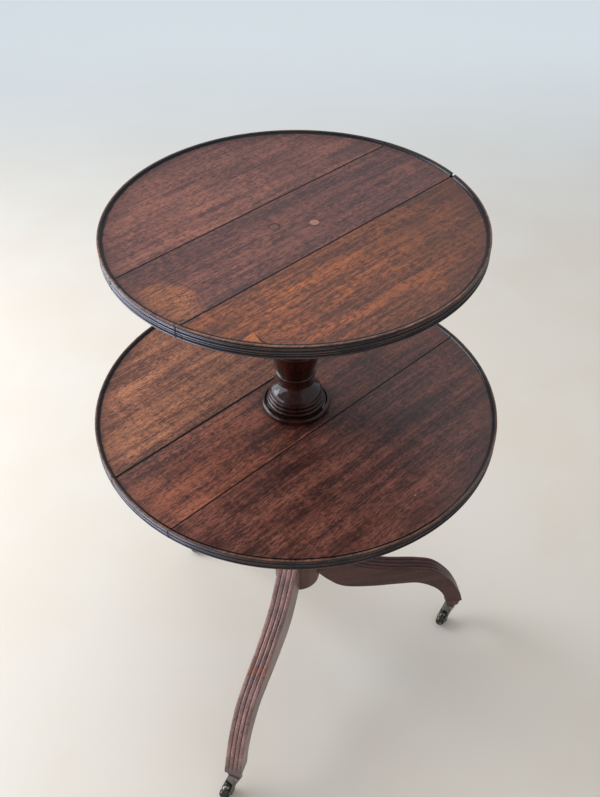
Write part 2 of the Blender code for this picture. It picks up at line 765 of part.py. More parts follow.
def make_screws():
    """Screws through the upper centre board into the block, and the pellets over them."""
    field = UPPER_UNDERSIDE + FIELD_HEIGHT
    head_top = field - PELLET_HEIGHT - SEAT_GAP
    head_bottom = head_top - SCREW_HEAD_HEIGHT
    tip = UPPER_UNDERSIDE - SCREW_BITE + SEAT_GAP
    outline = [(0, head_top), (SCREW_HEAD_RADIUS, head_top), (SCREW_HEAD_RADIUS, head_bottom),
               (SCREW_SHANK_RADIUS, head_bottom), (SCREW_SHANK_RADIUS, tip), (0, tip)]
    screw = turned_mesh("tier_screw", outline, SMALL_STEPS)
    pellet = rod_mesh("pellet", PELLET_RADIUS, PELLET_HEIGHT, ROUND_STEPS)
    for spot, label in zip(screw_places(), ("right", "left")):
        smooth_round(place(screw, f"tier_screw_{label}", STEEL, (*spot, 0)))
        smooth_round(place(pellet, f"pellet_{label}", PELLET_WOOD, (*spot, field - PELLET_HEIGHT / 2)))


# Legs
def leg_turns():
    """The three directions in which the legs stand out."""
    first = math.radians(FIRST_LEG_DEGREES)
    return [first + i * 2 * math.pi / LEG_COUNT for i in range(LEG_COUNT)]


def leg_curve(shares):
    """A leg's edge line as points of (radius, height)."""
    knots = [(r * LEG_REACH, FOOT_HEIGHT + h * LEG_RISE) for r, h in shares]
    return spline_points(knots, LEG_STATIONS)


def leg_section(top, underside, width, reed_depth):
    """One section across a leg: plain sides, arrises eased below, reeds along the top."""
    up = (top - underside).normalized()
    half = width / 2
    low = [(-half, LEG_ARRIS), (-half + LEG_ARRIS, 0), (half - LEG_ARRIS, 0), (half, LEG_ARRIS)]
    points = [(y, underside + up * rise) for y, rise in low]
    reed = width / LEG_REED_COUNT
    for i in range(LEG_REED_STEPS * LEG_REED_COUNT + 1):
        drop = 0 if i % LEG_REED_STEPS else reed_depth
        points.append((half - i * reed / LEG_REED_STEPS, top - up * drop))
    return [Vector((p.x, y, p.y)) for y, p in points]


def leg_body_mesh(name):
    """The leg as a loft through its sections, from inside the hub to the foot."""
    tops, undersides = leg_curve(leg_top_shares), leg_curve(leg_underside_shares)
    rings = []
    bm = bmesh.new()
    for i, (top, underside) in enumerate(zip(tops, undersides)):
        share = i / (LEG_STATIONS - 1)
        width = LEG_ROOT_WIDTH + (LEG_FOOT_WIDTH - LEG_ROOT_WIDTH) * share
        start, end = reed_fade_shares
        fade = min(max((end - share) / (end - start), 0), 1)
        section = leg_section(top, underside, width, LEG_REED_DEPTH * fade)
        rings.append([bm.verts.new(point) for point in section])
    count = len(rings[0])
    for near, far in zip(rings, rings[1:]):
        for j in range(count):
            k = (j + 1) % count
            bm.faces.new((near[j], near[k], far[k], far[j]))
    bm.faces.new(rings[0])
    bm.faces.new(rings[-1])
    bmesh.ops.recalc_face_normals(bm, faces=bm.faces)
    mesh = bpy.data.meshes.new(name)
    bm.to_mesh(mesh)
    bm.free()
    return mesh


def tenon_mesh(name, gap, reach_out):
    """A dovetail along +X in the hub: wider at its inner end, up the height of the leg's root."""
    inner = HUB_RADIUS - TENON_DEPTH - gap
    outer = HUB_RADIUS + reach_out
    flare = (TENON_TIP_WIDTH - TENON_ROOT_WIDTH) / 2 / TENON_DEPTH
    tip = TENON_TIP_WIDTH / 2 + gap
    root = tip - flare * (outer - inner)
    outline = [(inner, -tip), (outer, -root), (outer, root), (inner, tip)]
    low = HUB_BOTTOM - CUT_OVERRUN if gap else HUB_BOTTOM + LEG_ARRIS
    high = tenon_top() + gap
    mesh = extruded_mesh(name, outline, high - low)
    mesh.transform(Matrix.Translation((0, 0, (low + high) / 2)))
    return mesh


def tenon_top():
    """The dovetail's top, below the highest point of the leg at the hub's face."""
    face = [p.y for p in leg_curve(leg_top_shares) if p.x >= HUB_RADIUS + TENON_DEPTH]
    return face[0]


def toe_mesh(name):
    """The tapered toe under the foot, on the leg's own axes."""
    half_length, half_width = FOOT_LENGTH / 2 - TOE_INSET, LEG_FOOT_WIDTH / 2 - TOE_INSET
    mesh = box_mesh(name, (-half_length, -half_width, -TOE_HEIGHT),
                    (half_length, half_width, LEG_ARRIS))
    for vertex in mesh.vertices:
        if vertex.co.z < 0:
            vertex.co.x *= TOE_TIP_LENGTH / 2 / half_length
            vertex.co.y *= TOE_TIP_WIDTH / 2 / half_width
    mesh.transform(Matrix.Translation((FOOT_CENTRE, 0, FOOT_HEIGHT)))
    return mesh


def leg_mesh():
    """One leg along +X: loft, shoulder scribed to the hub, dovetail, toe and stem hole."""
    leg = place(leg_body_mesh("leg"), "leg", MAHOGANY)
    tall = 2 * (FOOT_HEIGHT + LEG_RISE + TENON_DEPTH)
    hub = rod_mesh("hub_clearance", HUB_RADIUS + SEAT_GAP, tall, 2 * PILLAR_STEPS)
    combine(leg, cutter(hub), "DIFFERENCE")
    combine(leg, cutter(tenon_mesh("dovetail", 0, TENON_DEPTH / 2)), "UNION")
    combine(leg, cutter(toe_mesh("toe")), "UNION")
    stem = rod_mesh("stem_hole", CASTER_STEM_RADIUS + SEAT_GAP, 2 * (CASTER_STEM_LENGTH + SEAT_GAP),
                    SMALL_STEPS)
    combine(leg, cutter(stem, (FOOT_CENTRE, 0, TOE_BOTTOM)), "DIFFERENCE")
    return applied(leg)


# Casters
def caster_plate_mesh():
    """A turned plate with a stem up into the toe and a swivel pin with a riveted head below."""
    plate_top = -SEAT_GAP
    plate_low = plate_top - CASTER_PLATE_THICKNESS
    head_top = plate_low - HORN_BOSS_HEIGHT - 2 * SEAT_GAP
    head_low = head_top - SWIVEL_HEAD_HEIGHT
    outline = [
        (0, CASTER_STEM_LENGTH), (CASTER_STEM_RADIUS, CASTER_STEM_LENGTH),
        (CASTER_STEM_RADIUS, plate_top), (CASTER_PLATE_RADIUS, plate_top),
        (CASTER_PLATE_RADIUS, plate_low), (SWIVEL_PIN_RADIUS, plate_low),
        (SWIVEL_PIN_RADIUS, head_top), (SWIVEL_HEAD_RADIUS, head_top),
        (SWIVEL_HEAD_RADIUS, head_low), (0, head_low),
    ]
    return turned_mesh("caster_plate", outline, CASTER_PLATE_STEPS)


def fork_outline(centre_drop):
    """The fork from the side: the boss's bridge, then back and down to an eye round the axle."""
    eye = []
    for i in range(EYE_ARC_STEPS + 1):
        share = i / EYE_ARC_STEPS
        angle = math.radians(EYE_START_DEGREES + (EYE_END_DEGREES - EYE_START_DEGREES) * share)
        eye.append((-CASTER_TRAIL + CHEEK_EYE_RADIUS * math.cos(angle),
                    -centre_drop + CHEEK_EYE_RADIUS * math.sin(angle)))
    front = HORN_BOSS_RADIUS / 2
    return eye + [(front, -FORK_ROOT_HEIGHT), (front, 0), (-front, 0), (-HORN_BOSS_RADIUS, -CHEEK_GAP)]


def horn_mesh():
    """A horn cast in one, hollowed round the wheel and under the boss; its origin is on the swivel axis."""
    centre_drop = HORN_TOP - WHEEL_RADIUS
    inside = WHEEL_WIDTH / 2 + CHEEK_GAP
    outside = inside + CHEEK_THICKNESS
    fork = extruded_mesh("horn", fork_outline(centre_drop), 2 * outside)
    fork.transform(STAND_ALONG_X)
    horn = place(fork, "horn", OLD_BRASS)
    wheel_space = rod_mesh("wheel_space", WHEEL_RADIUS + WHEEL_CLEARANCE, 2 * inside, ROUND_STEPS, "Y")
    combine(horn, cutter(wheel_space, (-CASTER_TRAIL, 0, -centre_drop)), "DIFFERENCE")
    boss = rod_mesh("horn_boss", HORN_BOSS_RADIUS, HORN_BOSS_HEIGHT - CHEEK_GAP, ROUND_STEPS)
    combine(horn, cutter(boss, (0, 0, -HORN_BOSS_HEIGHT / 2)), "UNION")
    rivet_space = rod_mesh("rivet_space", SWIVEL_HEAD_RADIUS + CHEEK_GAP, HORN_BOSS_HEIGHT + FORK_ROOT_HEIGHT,
                           SMALL_STEPS)
    rivet_middle = -HORN_BOSS_HEIGHT - (HORN_BOSS_HEIGHT + FORK_ROOT_HEIGHT) / 2
    combine(horn, cutter(rivet_space, (0, 0, rivet_middle)), "DIFFERENCE")
    swivel_bore = rod_mesh("swivel_bore", SWIVEL_PIN_RADIUS + SEAT_GAP, 4 * HORN_BOSS_HEIGHT, SMALL_STEPS)
    combine(horn, cutter(swivel_bore), "DIFFERENCE")
    axle_bore = rod_mesh("axle_bore", AXLE_RADIUS + SEAT_GAP, 4 * outside, SMALL_STEPS, "Y")
    combine(horn, cutter(axle_bore, (-CASTER_TRAIL, 0, -centre_drop)), "DIFFERENCE")
    return applied(horn)


def axle_mesh():
    """A riveted axle along Y, with a head outside each cheek."""
    half = WHEEL_WIDTH / 2 + CHEEK_GAP + CHEEK_THICKNESS + SEAT_GAP
    end = half + AXLE_HEAD_THICKNESS
    outline = [(0, end), (AXLE_HEAD_RADIUS, end), (AXLE_HEAD_RADIUS, half), (AXLE_RADIUS, half),
               (AXLE_RADIUS, -half), (AXLE_HEAD_RADIUS, -half), (AXLE_HEAD_RADIUS, -end), (0, -end)]
    mesh = turned_mesh("axle", outline, SMALL_STEPS)
    mesh.transform(STAND_ALONG_X)
    return mesh


def wheel_mesh():
    """A brass wheel along Y with a rounded tread and a bore."""
    half = WHEEL_WIDTH / 2
    bore = AXLE_RADIUS + SEAT_GAP
    rim = WHEEL_RADIUS - WHEEL_ROUND
    outline = [(bore, half), (rim, half), (WHEEL_RADIUS, half - WHEEL_ROUND),
               (WHEEL_RADIUS, -half + WHEEL_ROUND), (rim, -half), (bore, -half)]
    mesh = turned_mesh("wheel", outline, ROUND_STEPS, closed=True)
    mesh.transform(STAND_ALONG_X)
    return mesh


def make_legs_and_casters():
    """Three legs round the hub, each with its own swivelling caster."""
    leg = leg_mesh()
    plate, horn, axle, wheel = caster_plate_mesh(), horn_mesh(), axle_mesh(), wheel_mesh()
    heading = math.radians(CASTER_HEADING_DEGREES)
    trail = Vector((math.cos(heading), math.sin(heading), 0)) * CASTER_TRAIL
    for turn, label in zip(leg_turns(), ("right", "back", "left")):
        smooth_round(place(leg, f"{label}_leg", MAHOGANY, turn=turn))
        spot = Matrix.Rotation(turn, 4, "Z") @ Vector((FOOT_CENTRE, 0, 0))
        swivel = Vector((spot.x, spot.y, HORN_TOP))
        hub = spot + trail + Vector((0, 0, WHEEL_RADIUS))
        smooth_round(place(plate, f"{label}_caster_plate", OLD_BRASS, (spot.x, spot.y, TOE_BOTTOM)))
        place(horn, f"{label}_caster_horn", OLD_BRASS, swivel, heading + math.pi)
        smooth_round(place(axle, f"{label}_caster_axle", STEEL, hub, heading + math.pi))
        smooth_round(place(wheel, f"{label}_caster_wheel", BRASS, hub, heading + math.pi))


make_tier(UPPER_TIER, screw_hole_meshes())
make_tier(LOWER_TIER, spigot_hole_meshes())
make_hinges()
make_upper_pillar()
make_lower_pillar()
make_pendant()
for tier_of_pair in (UPPER_TIER, LOWER_TIER):
    make_block(tier_of_pair)
    make_bearer(tier_of_pair)
make_screws()
make_legs_and_casters()
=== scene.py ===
# %% [markdown]
# # A drop-leaf dumbwaiter table
# Two round mahogany trays stand one above the other on a turned pillar with three legs. Each tray
# is a fixed middle board with a leaf hinged on both sides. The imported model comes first, because
# every finer piece made below sits where it says. One unit is a metre, the middle of the pillar on
# the floor is the origin, and the joints between the boards run along X.

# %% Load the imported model
import math

import bmesh
import bpy
from mathutils import Matrix, Vector


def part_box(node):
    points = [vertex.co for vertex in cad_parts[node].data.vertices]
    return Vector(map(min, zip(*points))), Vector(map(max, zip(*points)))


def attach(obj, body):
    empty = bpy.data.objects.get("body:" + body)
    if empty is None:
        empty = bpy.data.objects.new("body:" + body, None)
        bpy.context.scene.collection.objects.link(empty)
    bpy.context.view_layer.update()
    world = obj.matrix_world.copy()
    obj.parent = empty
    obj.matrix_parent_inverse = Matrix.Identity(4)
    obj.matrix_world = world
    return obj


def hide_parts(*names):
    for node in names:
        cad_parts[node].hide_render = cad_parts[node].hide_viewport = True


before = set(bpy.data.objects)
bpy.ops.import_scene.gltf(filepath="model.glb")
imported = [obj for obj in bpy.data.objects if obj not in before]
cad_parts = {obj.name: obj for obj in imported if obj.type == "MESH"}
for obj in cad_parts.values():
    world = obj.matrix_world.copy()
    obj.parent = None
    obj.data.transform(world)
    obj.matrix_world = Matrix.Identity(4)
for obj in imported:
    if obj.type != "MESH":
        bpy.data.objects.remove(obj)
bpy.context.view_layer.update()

MM = 0.001

# %% [markdown]
# ## Where each tray is
# The trays share one edge moulding, so a tray is told by its outer radius, the height of its
# underside and the half width of its middle board. The back joint of the lower tray stands a little
# more open, which only its colour shows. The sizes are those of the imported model.

# %% The two trays
TRAYS = {
    "upper": {"radius": 0.244, "underside": 0.9215, "joint_y": 0.060, "back_gap": 0.0},
    "lower": {"radius": 0.293, "underside": 0.6165, "joint_y": 0.061, "back_gap": 0.9 * MM},
}
UP, LOW = TRAYS["upper"], TRAYS["lower"]
FIELD = 0.014  # from a tray's underside to its flat top
EDGE = 0.0185  # from its underside to the top of the lip
SEAT = 0.0003  # the gap between two pieces that rest on one another
field_up, field_low = UP["underside"] + FIELD, LOW["underside"] + FIELD
for label, tray in TRAYS.items():
    low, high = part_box(f"{label}_centre_board")
    print(label, "tray top", round(high.z, 4), "across", round(2 * tray["radius"], 3))

# %% [markdown]
# ## Making and placing pieces
# A piece is a mesh object that rides on one body of the model. Where it is a finer copy of a packed
# node it also stands for that node, so only one of the two is seen. Faces are smooth except across
# sharp edges, which keeps turned work round and arrises crisp.

# %% Place a piece
def placed(name, data):
    thing = bpy.data.objects.new(name, data)
    bpy.context.scene.collection.objects.link(thing)
    return thing


def show(mesh, name, look, body, slot, nodes=(), at=(0, 0, 0), turn=0.0, crease=38):
    thing = placed(name, mesh)
    thing.location = at
    thing.rotation_euler = (0, 0, turn)
    if not mesh.materials:
        mesh.materials.append(look)
    mesh.shade_smooth()
    mesh.set_sharp_from_angle(angle=math.radians(crease))
    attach(thing, body)
    if nodes:
        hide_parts(*nodes)
    return thing


def refine(mesh, node, look, body, slot, **rest):
    """Show a mesh as the finer copy of one node."""
    return show(mesh, f"fine_{node}", look, body, slot, [node], **rest)


# %% [markdown]
# ## Turned pieces
# A lathe cuts the same outline all the way round, and Blender's Screw modifier does that too: an
# outline of points beside the axis is swept through a full turn. An outline is easiest to draw as
# rows that say where the next run ends and how much it swells, so a bead is one row and a hollow is
# one row with a negative swell.

# %% Outlines of straight runs, beads and hollows
def arc(start, end, swell, count):
    start, end = Vector(start), Vector(end)
    chord = end - start
    if not swell:
        return [tuple(end)]
    outward = Vector((-chord.y, chord.x)) / chord.length
    half = 2 * math.atan(2 * abs(swell))
    radius = chord.length / 2 / math.sin(half)
    points = []
    for i in range(1, count + 1):
        angle = half * (2 * i / count - 1)
        along = chord.normalized() * radius * math.sin(angle)
        rise = radius * (math.cos(angle) - math.cos(half)) * math.copysign(1, swell)
        points.append(tuple((start + end) / 2 + along + outward * rise))
    return points


def in_mm(rows, base=0.0):
    """Millimetres to metres, with the heights counted from base."""
    return [(r * MM, base + z * MM, *swell) for r, z, *swell in rows]


def outline(rows, count=8):
    points = [rows[0][:2]]
    for r, z, swell in rows[1:]:
        points += arc(points[-1], (r, z), swell, count)
    return points


# %% Smooth curves through a few points
def flowing(knots, count):
    spans = len(knots) - 1
    points = []
    for i in range(count):
        at = i * spans / (count - 1)
        k = min(int(at), spans - 1)
        t = at - k
        b, c = Vector(knots[k]), Vector(knots[k + 1])
        a = Vector(knots[k - 1]) if k else b
        d = Vector(knots[k + 2]) if k + 2 <= spans else c
        bend = (c - a) / 2 * (t**3 - 2 * t**2 + t) + (d - b) / 2 * (t**3 - t**2)
        points.append(tuple(b * (2 * t**3 - 3 * t**2 + 1) + c * (3 * t**2 - 2 * t**3) + bend))
    return points


# %% Sweep an outline round the axis
def applied(thing):
    graph = bpy.context.evaluated_depsgraph_get()
    mesh = bpy.data.meshes.new_from_object(thing.evaluated_get(graph))
    bpy.data.objects.remove(thing)
    mesh.materials.clear()
    return mesh


def turned(name, points, steps=128, closed=False):
    mesh = bpy.data.meshes.new(name)
    edges = [(i, i + 1) for i in range(len(points) - 1)]
    if closed:
        edges.append((len(points) - 1, 0))
    mesh.from_pydata([(r, 0, z) for r, z in points], edges, [])
    thing = placed(name, mesh)
    screw = thing.modifiers.new("turn", "SCREW")
    screw.angle = 2 * math.pi
    screw.steps = screw.render_steps = steps
    screw.use_merge_vertices = True
    screw.merge_threshold = 0.00001
    return applied(thing)


# %% [markdown]
# ## Cutting and joining
# Boards are sawn to length, moulded and let in for hinges. A Boolean modifier does each of those
# with a second mesh as the tool. All the tools of one piece are handed over as separate cuts, so
# each stays a simple solid. A bevel eases arrises. A loft joins rings of points into a solid, and a
# prism is a loft between two rings of the same shape.

# %% Boolean with a list of tools
def carve(mesh, tools, operation="DIFFERENCE"):
    thing = placed(mesh.name, mesh)
    helpers = [placed("tool", tool) for tool in tools]
    for helper in helpers:
        step = thing.modifiers.new("cut", "BOOLEAN")
        step.operation = operation
        step.solver = "EXACT"
        step.object = helper
    made = applied(thing)
    for helper in helpers:
        bpy.data.objects.remove(helper)
    return made


def eased(mesh, width, segments):
    thing = placed("eased", mesh)
    step = thing.modifiers.new("ease", "BEVEL")
    step.width = width
    step.segments = segments
    step.limit_method = "ANGLE"
    return applied(thing)


# %% Solids between rings of points
def loft(name, rings):
    bm = bmesh.new()
    rows = [[bm.verts.new(point) for point in ring] for ring in rings]
    for near, far in zip(rows, rows[1:]):
        for i in range(len(near)):
            j = (i + 1) % len(near)
            bm.faces.new((near[i], near[j], far[j], far[i]))
    bm.faces.new(rows[0])
    bm.faces.new(rows[-1])
    bmesh.ops.recalc_face_normals(bm, faces=bm.faces)
    mesh = bpy.data.meshes.new(name)
    bm.to_mesh(mesh)
    bm.free()
    return mesh


def prism(points, low, high, axis="X"):
    place = {"X": lambda a, b, at: (at, a, b),
             "Y": lambda a, b, at: (a, at, b),
             "Z": lambda a, b, at: (a, b, at)}
    return loft("prism", [[place[axis](a, b, at) for a, b in points] for at in (low, high)])


def rod(radius, low, high, at=(0, 0), steps=48, axis="Z"):
    turns = [2 * math.pi * i / steps for i in range(steps)]
    ring = [(at[0] + radius * math.cos(a), at[1] + radius * math.sin(a)) for a in turns]
    return prism(ring, low, high, axis)


# %% [markdown]
# ## Node helpers
# A material is a small tree of nodes. A recipe wraps one tree, and each of its methods adds a node
# and gives back its output, so an input is either a number or the result of an earlier line. A
# colour is written as three numbers. The same class builds a whole material and a group that
# several materials share.

# %% A recipe adds nodes to one tree
class Recipe:
    def __init__(self, tree, results):
        self.tree = tree
        self.results = results

    def add(self, kind, inputs=(), **settings):
        made = self.tree.nodes.new("ShaderNode" + kind)
        for key, value in settings.items():
            setattr(made, key, value)
        for key, value in dict(inputs).items():
            self.fill(made.inputs[key], value)
        return made.outputs

    def fill(self, socket, value):
        """Join an earlier result to a socket, or write a number, vector or colour there."""
        if isinstance(value, bpy.types.NodeSocket):
            self.tree.links.new(value, socket)
        else:
            socket.default_value = (*value, 1.0) if socket.type == "RGBA" else value

    def maths(self, operation, a, b=0.0, c=0.0, clamp=False):
        return self.add("Math", {0: a, 1: b, 2: c}, operation=operation, use_clamp=clamp)[0]

    def times(self, a, b):
        return self.maths("MULTIPLY", a, b)

    def minus(self, a, b):
        return self.maths("SUBTRACT", a, b)

    def scaled(self, value, factor, start, clamp=False):
        """value * factor + start"""
        return self.maths("MULTIPLY_ADD", value, factor, start, clamp)

    def vector(self, operation, a, b=(0, 0, 0)):
        """A vector sum; lengths and dot products come out as a number."""
        made = self.add("VectorMath", {0: a, 1: b}, operation=operation)
        return made["Value" if operation in ("LENGTH", "DOT_PRODUCT") else "Vector"]

    def parts(self, vector):
        return self.add("SeparateXYZ", {0: vector})

    def noise(self, inputs, dimensions="3D"):
        return self.add("TexNoise", inputs, noise_dimensions=dimensions)

    def ramp(self, value, low, high, to_low=0.0, to_high=1.0, kind="SMOOTHSTEP"):
        """A soft step: to_low below low, to_high above high."""
        inputs = {"Value": value, "From Min": low, "From Max": high, "To Min": to_low,
                  "To Max": to_high}
        return self.add("MapRange", inputs, interpolation_type=kind)[0]

    def blend(self, share, a, b, how="MIX"):
        return self.add("Mix", {0: share, 6: a, 7: b}, data_type="RGBA", blend_type=how)[2]

    def between(self, tone, stops):
        """A colour ramp through (position, colour) stops."""
        stops = [(position, (*colour, 1.0)) for position, colour in stops]
        made = self.add("ValToRGB", {0: tone})[0]
        ends = made.node.color_ramp.elements
        ends[0].position, ends[0].color = stops[0]
        ends[1].position, ends[1].color = stops[-1]
        for position, colour in stops[1:-1]:
            ends.new(position).color = colour
        return made

    def use(self, group, inputs=()):
        return self.add("Group", inputs, node_tree=group)

    def give(self, label, value):
        """Hand a result to the surface or out of the group."""
        self.fill(self.results[label], value)

    def give_bump(self, relief, strength, distance):
        inputs = {"Height": relief, "Strength": strength, "Distance": distance}
        self.give("Normal", self.add("Bump", inputs)[0])


def new_material(name):
    look = bpy.data.materials.new(name)
    look.use_nodes = True
    recipe = Recipe(look.node_tree, look.node_tree.nodes["Principled BSDF"].inputs)
    return look, recipe, recipe.add("TexCoord")["Object"]


def new_group(name, inputs, outputs):
    group = bpy.data.node_groups.new(name, "ShaderNodeTree")
    for label, value in inputs.items():
        kind = "NodeSocketVector" if isinstance(value, tuple) else "NodeSocketFloat"
        socket = group.interface.new_socket(label, in_out="INPUT", socket_type=kind)
        socket.default_value = value
    for label in outputs:
        group.interface.new_socket(label, in_out="OUTPUT", socket_type="NodeSocketFloat")
    given = group.nodes.new("NodeGroupInput").outputs
    return group, Recipe(group, group.nodes.new("NodeGroupOutput").inputs), given


# %% [markdown]
# ## Mahogany's figure
# Mahogany has soft bands a couple of centimetres wide, finer streaks inside them, short dark pores
# like pencil ticks, and now and then a faint ripple across the grain. All are noise stretched along
# the grain, so one group makes them and every wooden piece asks for its own seed and scale. The
# fourth dimension of the noise is the seed, which gives each board its own tree.

# %% The grain group
def stretched(where, seed, along, across, detail, rough=0.5, wander=0.0):
    drawn_out = t.vector("MULTIPLY", where, (along, across, across))
    inputs = {"Vector": drawn_out, "W": seed, "Scale": 1.0, "Detail": detail, "Roughness": rough,
              "Distortion": wander}
    return t.noise(inputs, "4D")[0]


grain, t, given = new_group(
    "mahogany figure", {"Position": (0.0, 0.0, 0.0), "Seed": 0.0, "Wander": 0.006},
    ["Bands", "Streaks", "Pores", "Ripple", "Patches"])
seed = given["Seed"]
bend = t.noise({"Vector": given["Position"], "W": seed, "Scale": 7.0, "Detail": 2.0}, "4D")["Color"]
bend = t.vector("SUBTRACT", bend, (0.5, 0.5, 0.5))
bend = t.add("VectorMath", {0: bend, "Scale": given["Wander"]}, operation="SCALE")[0]
where = t.vector("ADD", given["Position"], bend)
short_streaks = stretched(where, seed, 135, 680, 2, 0.7)
long_streaks = stretched(where, seed, 9, 250, 3, 0.6)
for label, value, low, high in (
        ("Bands", stretched(where, seed, 6, 56, 3, 0.5, 0.2), 0.34, 0.66),
        ("Streaks", t.scaled(short_streaks, 0.6, t.times(long_streaks, 0.4)), 0.41, 0.59),
        ("Pores", stretched(where, seed, 140, 640, 1), 0.55, 0.66),
        ("Ripple", stretched(where, seed, 150, 34, 2, 0.5, 0.4), 0.35, 0.65),
        ("Patches", stretched(where, seed, 14, 30, 4, 0.55, 0.3), 0.38, 0.66)):
    t.give(label, t.ramp(value, low, high))
print("grain group with", len(grain.nodes), "nodes")

# %% [markdown]
# ## Zones of a tray's edge
# Polish and dirt gather in the hollow inside the lip. The grooves between the reeds are darker, partly
# with dirt and partly with painted shade. Hands rub the lip's top bare, and the crests of the reeds
# are paler, partly rubbed bare and partly painted highlight. Along one side of the rim the reeds carry
# a painted bluish highlight, a reflection of the window light, and the underside was never polished.
# Each zone is found from the distance to the tray's middle and the height above its underside, so it
# stays put however the leaf is turned.

# %% The tray zone group
REED_CRESTS = (14.2, 12.4, 9.0, 5.5, 4.2, 1.95)
# The side of the rim whose reeds carry a painted bluish highlight, a reflection of the window light.
PAINTED_HIGHLIGHT_SIDE = (-0.989, 0.147, 0.0)

zones, t, given = new_group(
    "tray zones",
    {"Position": (0.0, 0.0, 0.0), "Radius": 0.244, "Underside": 0.92, "Joint": 0.06, "Back Gap": 0.0},
    ["Rim", "Lip Top", "Under", "Joint Line", "Toward Rim", "Groove", "Crest", "Painted Highlight"])
x, y, z = t.parts(given["Position"])
flat = t.add("CombineXYZ", {0: x, 1: y})[0]
inset = t.minus(given["Radius"], t.vector("LENGTH", flat))
height = t.minus(z, given["Underside"])
uneven = t.noise({"Vector": given["Position"], "Scale": 60.0, "Detail": 4.0})[0]
soft_inset = t.maths("ADD", inset, t.ramp(uneven, 0.3, 0.7, -0.4 * MM, 0.4 * MM))
t.give("Rim", t.ramp(soft_inset, 8.0 * MM, 6.9 * MM))
t.give("Toward Rim", t.ramp(soft_inset, 45 * MM, 8 * MM))
t.give("Under", t.ramp(height, 0.5 * MM, 0.2 * MM))

# %% Lip, hollow and reeds
on_top = t.ramp(height, EDGE - 1.4 * MM, EDGE - 0.3 * MM)
t.give("Lip Top", t.times(on_top, t.ramp(inset, 2.9 * MM, 2.1 * MM)))
# Groove: the grooves between the reeds, darkened partly as dirt and partly as painted shade.
below_nose = t.times(t.ramp(inset, 0.95 * MM, 1.35 * MM), t.ramp(inset, 2.6 * MM, 2.2 * MM))
t.give("Groove", t.times(below_nose, t.ramp(height, 17.4 * MM, 16.6 * MM)))
crest = 0.0
for middle in REED_CRESTS:
    apart = t.maths("ABSOLUTE", t.minus(height, middle * MM))
    crest = t.maths("MAXIMUM", t.ramp(apart, 0.62 * MM, 0.25 * MM), crest)
t.give("Crest", t.times(crest, t.ramp(inset, 1.45 * MM, 1.25 * MM)))
facing = t.maths("DIVIDE", t.vector("DOT_PRODUCT", flat, PAINTED_HIGHLIGHT_SIDE), given["Radius"])
t.give("Painted Highlight", t.times(t.ramp(facing, 0.70, 0.95), t.ramp(inset, 2.0 * MM, 1.2 * MM)))

# %% The dark line of a joint
beside = t.minus(t.maths("ABSOLUTE", y), given["Joint"])
beside = t.maths("ABSOLUTE", t.minus(beside, 0.45 * MM))
half = t.scaled(t.maths("GREATER_THAN", y, 0.0), given["Back Gap"], 1.35 * MM)
t.give("Joint Line", t.ramp(beside, half, t.times(half, 0.7)))
print("tray zone group with", len(zones.nodes), "nodes")

# %% [markdown]
# ## Small marks
# Worm holes and dents are dots a millimetre or two across at known places, and darker ticks in the
# figure are the same dots drawn out along the grain. A group that turns a place, a size and a
# stretch into a soft mask lets a board carry as many as it has.

# %% The mark group
mark, t, given = new_group(
    "small mark",
    {"Position": (0.0, 0.0, 0.0), "Place": (0.0, 0.0, 0.0), "Size": 0.001, "Along": 1.0}, ["Mark"])
squeeze = t.add("CombineXYZ", {0: t.maths("DIVIDE", 1.0, given["Along"]), 1: 1.0, 2: 1.0})[0]
gap = t.vector("MULTIPLY", t.vector("SUBTRACT", given["Position"], given["Place"]), squeeze)
t.give("Mark", t.ramp(t.maths("DIVIDE", t.vector("LENGTH", gap), given["Size"]), 1.0, 0.6))

# %% [markdown]
# ## The boards' polish
# The boards are reddish brown under worn French polish. Bands and streaks choose between a light, a
# middle and a dark brown, pores darken it in ticks, and broad patches keep more of the old dark
# polish. The edge zones then lay their own colours over that. Shellac is clear and glossy where it
# is left and duller where it is worn, which the coat and the roughness show.

# %% Colours of the old polish, its dirt, and painted shade and highlight
# Darkens the joints, and the grooves between the reeds partly as dirt and partly as painted shade.
DIRT_AND_GROOVE_SHADE = (0.003, 0.002, 0.002)
PORE = (0.024, 0.010, 0.009)
# Painted shade: a bluish grey that darkens the boards toward +X, away from the window light.
PAINTED_SHADE = (0.30, 0.29, 0.35)
RIM_POLISH = ((0.004, 0.003, 0.005), (0.014, 0.009, 0.013))
# Painted highlight: a bluish reflection of the window light, dim between the reeds and bright on their
# crests.
PAINTED_HIGHLIGHT = ((0.048, 0.044, 0.070), (0.520, 0.520, 0.640))
BARE_LIP = ((0.13, 0.055, 0.032), (0.34, 0.155, 0.090))
# Paler reed crests: partly rubbed bare wood, partly a painted highlight along each reed.
RUBBED_REED_AND_HIGHLIGHT = (0.20, 0.110, 0.083)
RAW_WOOD = ((0.07, 0.038, 0.024), (0.15, 0.085, 0.052))


# %% Colour of a board's open face
def arched_figure(t, here, figure, colour, dark, glow):
    """Curved flecks inside an oval, with a dark line along one side of it."""
    centre, reach, tint = glow
    off = t.vector("DIVIDE", t.vector("SUBTRACT", here, centre), reach)
    far = t.scaled(figure["Bands"], 0.16, t.vector("LENGTH", off))
    arcs = t.scaled(t.maths("SINE", t.times(far, 52)), 0.5, 0.5)
    flecks = t.ramp(t.scaled(figure["Streaks"], 0.7, t.times(arcs, 0.3)), 0.15, 0.80, 0.12, 1.0)
    colour = t.blend(t.times(t.ramp(far, 1.25, 0.60), flecks), colour, tint)
    ring = t.times(t.ramp(far, 0.96, 1.03), t.ramp(far, 1.12, 1.05))
    ring = t.times(ring, t.ramp(t.parts(off)[0], 0.3, 0.7))
    return t.blend(t.times(ring, 0.5), colour, dark)


